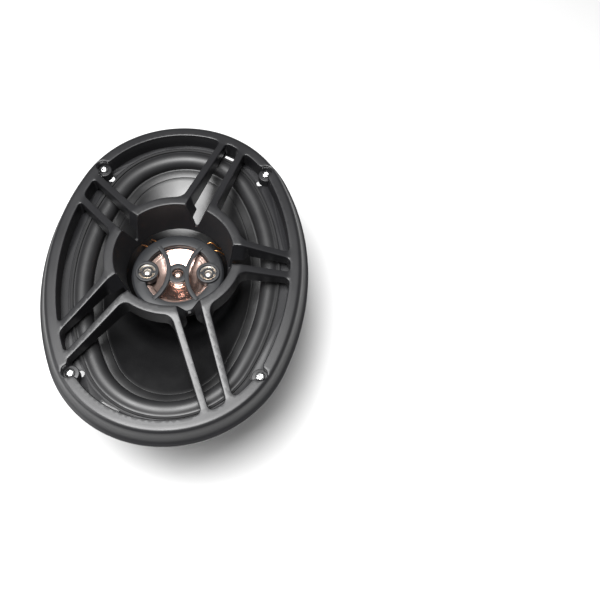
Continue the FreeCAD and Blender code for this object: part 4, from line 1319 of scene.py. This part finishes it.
class SPEAKER_OT_motor(Operator):
    """Boot, plates, ferrite ring, pole piece, stem and voice coil"""
    bl_idname = "speaker.motor"
    bl_label = "Motor"

    def execute(self, context):
        turned("rubber_boot", [(0, 0), (38, 0, 0.4), (38.6, 0.5, 0.3), (40.4, 0.5, 0.3),
                               (41, 0, 0.4), (47, 0, 2.5), (47, 20, 0.6), (46.6, 20.6, 0.5),
                               (46.6, 24, 0.8), (45, 24, 0.4), (45, 2), (0, 2)],
               "boot_rubber", "speaker", ["magnet_boot"], 144)
        turned("rear_yoke_plate", [(0, 2), (42, 2, 1.0), (42, 8, 0.4), (0, 8)],
               "motor_steel", "speaker", ["back_plate"], 128)
        turned("ferrite_ring", [(26, 8, 0.6), (45, 8, 0.8), (45, 26, 0.8), (26, 26, 0.6)],
               "magnet_ferrite", "speaker", ["magnet"], 144)
        turned("front_yoke_plate", [(20, 26, 0.3), (42, 26, 0.5), (42, 32, 0.8), (20, 32, 0.3)],
               "motor_steel", "speaker", ["top_plate"], 128)
        turned("turned_pole", [(0, 8), (18.4, 8, 0.3), (18.4, 33, 0.9), (0, 33)],
               "motor_steel", "speaker", ["pole_piece"])
        turned("centre_stem", [(0, 33), (5, 33, 0.3), (5, 66.1, 0.6), (0, 66.1)],
               "motor_steel", "speaker", ["pod_stem"], 64)
        turned("foil_former", [(18.8, 23, 0.05), (19.0, 23, 0.05), (19.0, 50.8, 0.05),
                               (18.8, 50.8, 0.05)],
               "former_foil", "cone_assembly", ["voice_coil_former"], 128)
        wire = [(19.02, COIL_LOW), (19.02, COIL_TOP)]
        for number in range(COIL_TURNS):
            low = COIL_TOP - COIL_PITCH*number
            wire += [(19.2, low), (19.38, low - 0.12), (19.38, low - 0.38)]
        wire.append((19.2, COIL_LOW))
        points, faces = lathe(wire, 96)
        settle(new_object("coil_turns", points, faces), "winding_copper", "cone_assembly",
               ["voice_coil_winding"], smooth=70)
        return {"FINISHED"}


# ---------------------------------------------------------------- the pod

POD_TOP, POD_FACE, POD_RIM, POD_UNDER = 78.5, 30.6, 32.2, 75.3
POD_MOUTH, TWEETER_AT, TWEETER_RING, TWEETER_BORE = 23.3, 21.3, 8.2, 5.9
BAR_NEAR, BAR_BEND, BAR_HALF, BAR_END = 6.3, 30.0, 1.55, 26.0
HUB_RADIUS, HUB_BORE, HUB_UNDER, BAR_UNDER = 7.9, 3.9, 75.8, 76.3
RING_RISE, BRIDGE_HALF, BRIDGE_IN, SEARCH_STEP = 1.8, 0.8, 3.6, 0.004


def pod_mouth():
    """The pod's opening: a circle that goes round the inner side of each tweeter ring."""
    loop = []
    cut = math.acos((POD_MOUTH**2 + TWEETER_AT**2 - TWEETER_RING**2)
                    / (2*POD_MOUTH*TWEETER_AT))
    for side in (0, math.pi):
        loop += circle_run(CENTRE, POD_MOUTH, side + cut, side + math.pi - cut)[:-1]
        middle = heading(side + math.pi)*TWEETER_AT
        touch = heading(side + math.pi - cut)*POD_MOUTH - middle
        start = math.atan2(touch.y, touch.x)
        away = (side + math.pi) % FULL_TURN
        swing = (start - away) % FULL_TURN
        if swing > math.pi:
            swing -= FULL_TURN
        first, last = away + swing, away + math.copysign(FULL_TURN, swing) - swing
        loop += circle_run(middle, TWEETER_RING, first, last)[:-1]
    return loop


def bar_outline(side):
    """One curved bar across the mouth, with square ends."""
    middle = Vector((side*(BAR_NEAR + BAR_BEND), 0))
    start = math.pi if side > 0 else 0.0
    half = 0.0
    while (middle + heading(start + half)*BAR_BEND).length < BAR_END:
        half += SEARCH_STEP
    near = circle_run(middle, BAR_BEND - BAR_HALF, start - half, start + half, 0.8)
    far = circle_run(middle, BAR_BEND + BAR_HALF, start + half, start - half, 0.8)
    return near + far


def hub_outline():
    """A disc whose left and right sides run under the two bars."""
    loop = []
    for side in (1, -1):
        middle = Vector((side*(BAR_NEAR + BAR_BEND), 0))
        rise = 0.0
        while (middle - heading(rise)*side*BAR_BEND).length < HUB_RADIUS:
            rise += SEARCH_STEP
        start = 0.0 if side < 0 else math.pi
        flank = circle_run(middle, BAR_BEND, start + rise, start - rise, 0.7)
        loop += flank[:-1]
        corner = flank[-1]
        first = math.atan2(corner.y, corner.x) % FULL_TURN
        last = math.pi - first if first < math.pi else 3*math.pi - first
        loop += circle_run(CENTRE, HUB_RADIUS, first, last, 0.7)[:-1]
    return loop


def disc(x, radius, step=0.8):
    """A circle's outline, its middle on the X axis."""
    return circle_run(Vector((x, 0)), radius, 0, FULL_TURN, step)[:-1]


class SPEAKER_OT_pod(Operator):
    """The pod's cover with its bars, hub and tweeter rings, and the bowl behind it"""
    bl_idname = "speaker.pod"
    bl_label = "Pod"

    def execute(self, context):
        bores = [disc(side*TWEETER_AT, TWEETER_BORE + 0.1) for side in (-1, 1)]
        shapes = [slab(disc(0, POD_RIM, 1.2), [pod_mouth()] + bores, POD_UNDER, POD_TOP, 0.4,
                       bevel=POD_RIM - POD_FACE)]
        shapes.append(slab(hub_outline(), [disc(0, HUB_BORE, 0.5)], HUB_UNDER, POD_TOP + 0.2,
                           0.4))
        for side in (-1, 1):
            at = side*TWEETER_AT
            shapes.append(slab(bar_outline(side), [], BAR_UNDER, POD_TOP + 0.6, 0.4))
            shapes.append(lathe(rounded([
                (TWEETER_BORE, POD_UNDER), (TWEETER_RING, POD_UNDER),
                (TWEETER_RING, POD_TOP + RING_RISE, 0.6),
                (TWEETER_BORE + 0.3, POD_TOP + RING_RISE, 0.5),
                (TWEETER_BORE, POD_TOP + 1.2, 0.3)]), 72, at))
            shapes.append(lathe(rounded([
                (2.7, 78.2, 0.1), (4.2, 78.2, 0.2), (4.2, 79.7, 0.3), (2.9, 79.7, 0.3),
                (2.7, 79.2, 0.1)]), 48, at))
            for reach in (-1, 1):
                low, high = sorted((at + reach*BRIDGE_IN, at + reach*(TWEETER_BORE + 0.5)))
                corners = [Vector((low, -BRIDGE_HALF)), Vector((high, -BRIDGE_HALF)),
                           Vector((high, BRIDGE_HALF)), Vector((low, BRIDGE_HALF))]
                shapes.append(slab(corners, [], 78.3, 79.5, 0.25))
        thing = new_object("pod_face", *together(*shapes))
        settle(thing, "pod_plastic", "speaker", ["pod_cover"])
        turned("pod_bowl", [(5, 61.5, 0.3), (15, 61.5, 3.0), (31.4, 70.3, 2.0), (31.4, 75.3, 0.3),
                            (29.8, 75.3), (29.8, 71.2), (15, 63.1, 2.0), (5, 63.1)],
               "pod_plastic", "speaker", ["pod_housing"], 128)
        turned("midrange_seat", [(23.2, 72.9, 0.3), (29.2, 72.9, 0.3), (29.2, 75.2, 0.3),
                                 (23.6, 75.2, 0.3), (23.2, 74.9, 0.2)],
               "pod_plastic", "speaker", ["midrange_frame"], 128)
        softened("stem_nut", "pod_nut", "screw_zinc", "speaker", 0.4)
        return {"FINISHED"}


def dome(name, radius, top, arc, step, slot, body, node, x=0.0):
    """A thin dome, drawn in steps of a few degrees from its top down to its foot at arc."""
    sine = math.sin(math.radians(arc))
    bend = [(radius*math.sin(math.radians(turn))/sine,
             top - radius*(1 - math.cos(math.radians(turn)))/sine)
            for turn in range(0, arc + 1, step)]
    skin = [(out*0.93, height - 0.3) for out, height in bend[::-1]]
    skin[-1] = (0.0, skin[-1][1])
    points, faces = lathe(bend + skin, 64, x)
    settle(new_object(name, points, faces), slot, body, [node])


class SPEAKER_OT_drivers(Operator):
    """The midrange's dish and turret, its magnet, the tweeters and the centre dome"""
    bl_idname = "speaker.drivers"
    bl_label = "Midrange and tweeters"

    def execute(self, context):
        turned("spun_dish", [
            (7.0, 69.4), (19.4, 73.2), (20.2, 73.4), (22.8, 73.9), (22.8, 74.6, 0.2),
            (21.9, 74.7, 0.3), (21.7, 74.3, 0.2), (20.9, 74.3, 0.2), (20.7, 73.95, 0.2),
            (19.9, 73.9, 0.3), (18.8, 73.3, 0.5), (13.0, 71.2, 3.0), (7.0, 69.9)],
            "midrange_metal", "midrange_diaphragm", ["midrange_dish"], 144)
        turned("dish_turret", [
            (0, 69.4), (7.3, 69.5), (7.3, 70.6, 0.3), (6.5, 71.0, 0.3), (6.5, 72.6, 0.4),
            (5.4, 73.0, 0.3), (5.4, 73.8, 0.3), (0, 73.8)],
            "midrange_metal", "midrange_diaphragm", ["midrange_cap"])
        turned("midrange_motor", [(0, 66.1), (12, 66.1, 0.4), (12, 68.7, 0.5), (0, 68.7)],
               "motor_steel", "speaker", ["midrange_magnet"], 72)
        for side, name in ((-1, "left"), (1, "right")):
            at = side*TWEETER_AT
            turned("tweeter_horn_" + name, [
                (0, 75.8), (5.85, 75.8, 0.2), (5.85, 79.0, 0.2), (5.5, 79.0, 0.1),
                (4.9, 77.4, 0.8), (3.9, 76.4, 0.4), (0, 76.4)],
                "tweeter_metal", "speaker", ["tweeter_cup_" + name], 72, at)
            dome("tweeter_cap_" + name, 3.4, 78.7, 52, 4, "tweeter_metal", "tweeter_" + name,
                 "tweeter_dome_" + name, at)
        dome("hub_dome", 3.85, 77.6, 55, 5, "midrange_metal", "speaker", "centre_dome")
        return {"FINISHED"}


# where each of the pod's wires passes on its way from the bowl down to the cone
LEADS = (
    ((-14.6, 24.4, 70.4), (-17.8, 29.2, 71.6), (-20.8, 32.0, 70.4), (-22.6, 35.4, 65.0),
     (-24.0, 38.0, 61.6)),
    ((-20.0, 20.6, 70.4), (-23.2, 24.6, 71.4), (-26.6, 27.2, 70.4), (-29.0, 30.6, 65.0),
     (-31.6, 33.2, 61.6)),
    ((15.6, 24.6, 70.2), (18.4, 31.0, 70.6), (22.6, 30.6, 71.0), (25.4, 29.4, 64.6),
     (29.6, 31.4, 61.8)),
    ((20.6, 21.0, 70.2), (23.0, 24.2, 70.8), (27.2, 23.8, 70.6), (30.4, 24.4, 64.2),
     (35.0, 26.6, 61.8)),
)
LEAD_RADIUS = 0.55


def flying_lead(name, route):
    """A round wire that bends past the places of its route."""
    curve = bpy.data.curves.new(name, "CURVE")
    curve.dimensions, curve.bevel_depth = "3D", LEAD_RADIUS*MM
    curve.bevel_resolution, curve.use_fill_caps = 4, True
    spline = curve.splines.new("NURBS")
    spline.points.add(len(route) - 1)
    for point, place in zip(spline.points, route):
        point.co = (*(part*MM for part in place), 1.0)
    spline.order_u, spline.use_endpoint_u = 3, True
    spline.resolution_u = 8
    drawn = bpy.data.objects.new(name, curve)
    collection = bpy.context.scene.collection
    collection.objects.link(drawn)
    mesh = bpy.data.meshes.new_from_object(
        drawn.evaluated_get(bpy.context.evaluated_depsgraph_get()))
    bpy.data.objects.remove(drawn)
    wire = bpy.data.objects.new(name, mesh)
    collection.objects.link(wire)
    return wire


class SPEAKER_OT_terminals(Operator):
    """Terminal board, blades, capacitor and leads"""
    bl_idname = "speaker.terminals"
    bl_label = "Terminals and leads"

    def execute(self, context):
        softened("terminal_plate", "terminal_board", "board_resin", "speaker", 0.3)
        softened("blade_positive", "terminal_positive", "screw_zinc", "speaker", 0.2)
        softened("blade_negative", "terminal_negative", "screw_zinc", "speaker", 0.2)
        softened("dipped_capacitor", "capacitor", "capacitor_film", "speaker", 1.0, steps=4)
        for name in ("lead_positive", "lead_negative"):
            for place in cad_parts[name].material_slots:
                place.material = finish_for("lead_copper")
        for number, route in enumerate(LEADS):
            wire = flying_lead("flying_lead_%d" % (number + 1), route)
            settle(wire, "lead_copper", None)
            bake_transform(wire)
        return {"FINISHED"}


STEPS = (SPEAKER_OT_stage, SPEAKER_OT_grille, SPEAKER_OT_screws, SPEAKER_OT_cone,
         SPEAKER_OT_surround, SPEAKER_OT_spider, SPEAKER_OT_basket, SPEAKER_OT_gaskets,
         SPEAKER_OT_motor, SPEAKER_OT_pod, SPEAKER_OT_drivers, SPEAKER_OT_terminals)


class SPEAKER_PT_panel(Panel):
    """The speaker's sizes, colours and pieces"""
    bl_idname = "SPEAKER_PT_panel"
    bl_label = "Speaker"
    bl_space_type = "VIEW_3D"
    bl_region_type = "UI"
    bl_category = "Speaker"

    def draw(self, context):
        for group in (context.scene.speaker_sizes, context.scene.speaker_colours):
            for name in group.__annotations__:
                self.layout.prop(group, name)
        for step in STEPS:
            self.layout.operator(step.bl_idname)


CLASSES = (SpeakerSizes, SpeakerColours, *STEPS, SPEAKER_PT_panel)


def register():
    """Add the classes and the two property groups."""
    for item in CLASSES:
        bpy.utils.register_class(item)
    bpy.types.Scene.speaker_sizes = PointerProperty(type=SpeakerSizes)
    bpy.types.Scene.speaker_colours = PointerProperty(type=SpeakerColours)


def unregister():
    """Take them away again."""
    del bpy.types.Scene.speaker_colours
    del bpy.types.Scene.speaker_sizes
    for item in reversed(CLASSES):
        bpy.utils.unregister_class(item)


def main():
    """Make every piece."""
    register()
    for step in STEPS:
        group, name = step.bl_idname.split(".")
        getattr(getattr(bpy.ops, group), name)()


if __name__ == "__main__":
    main()
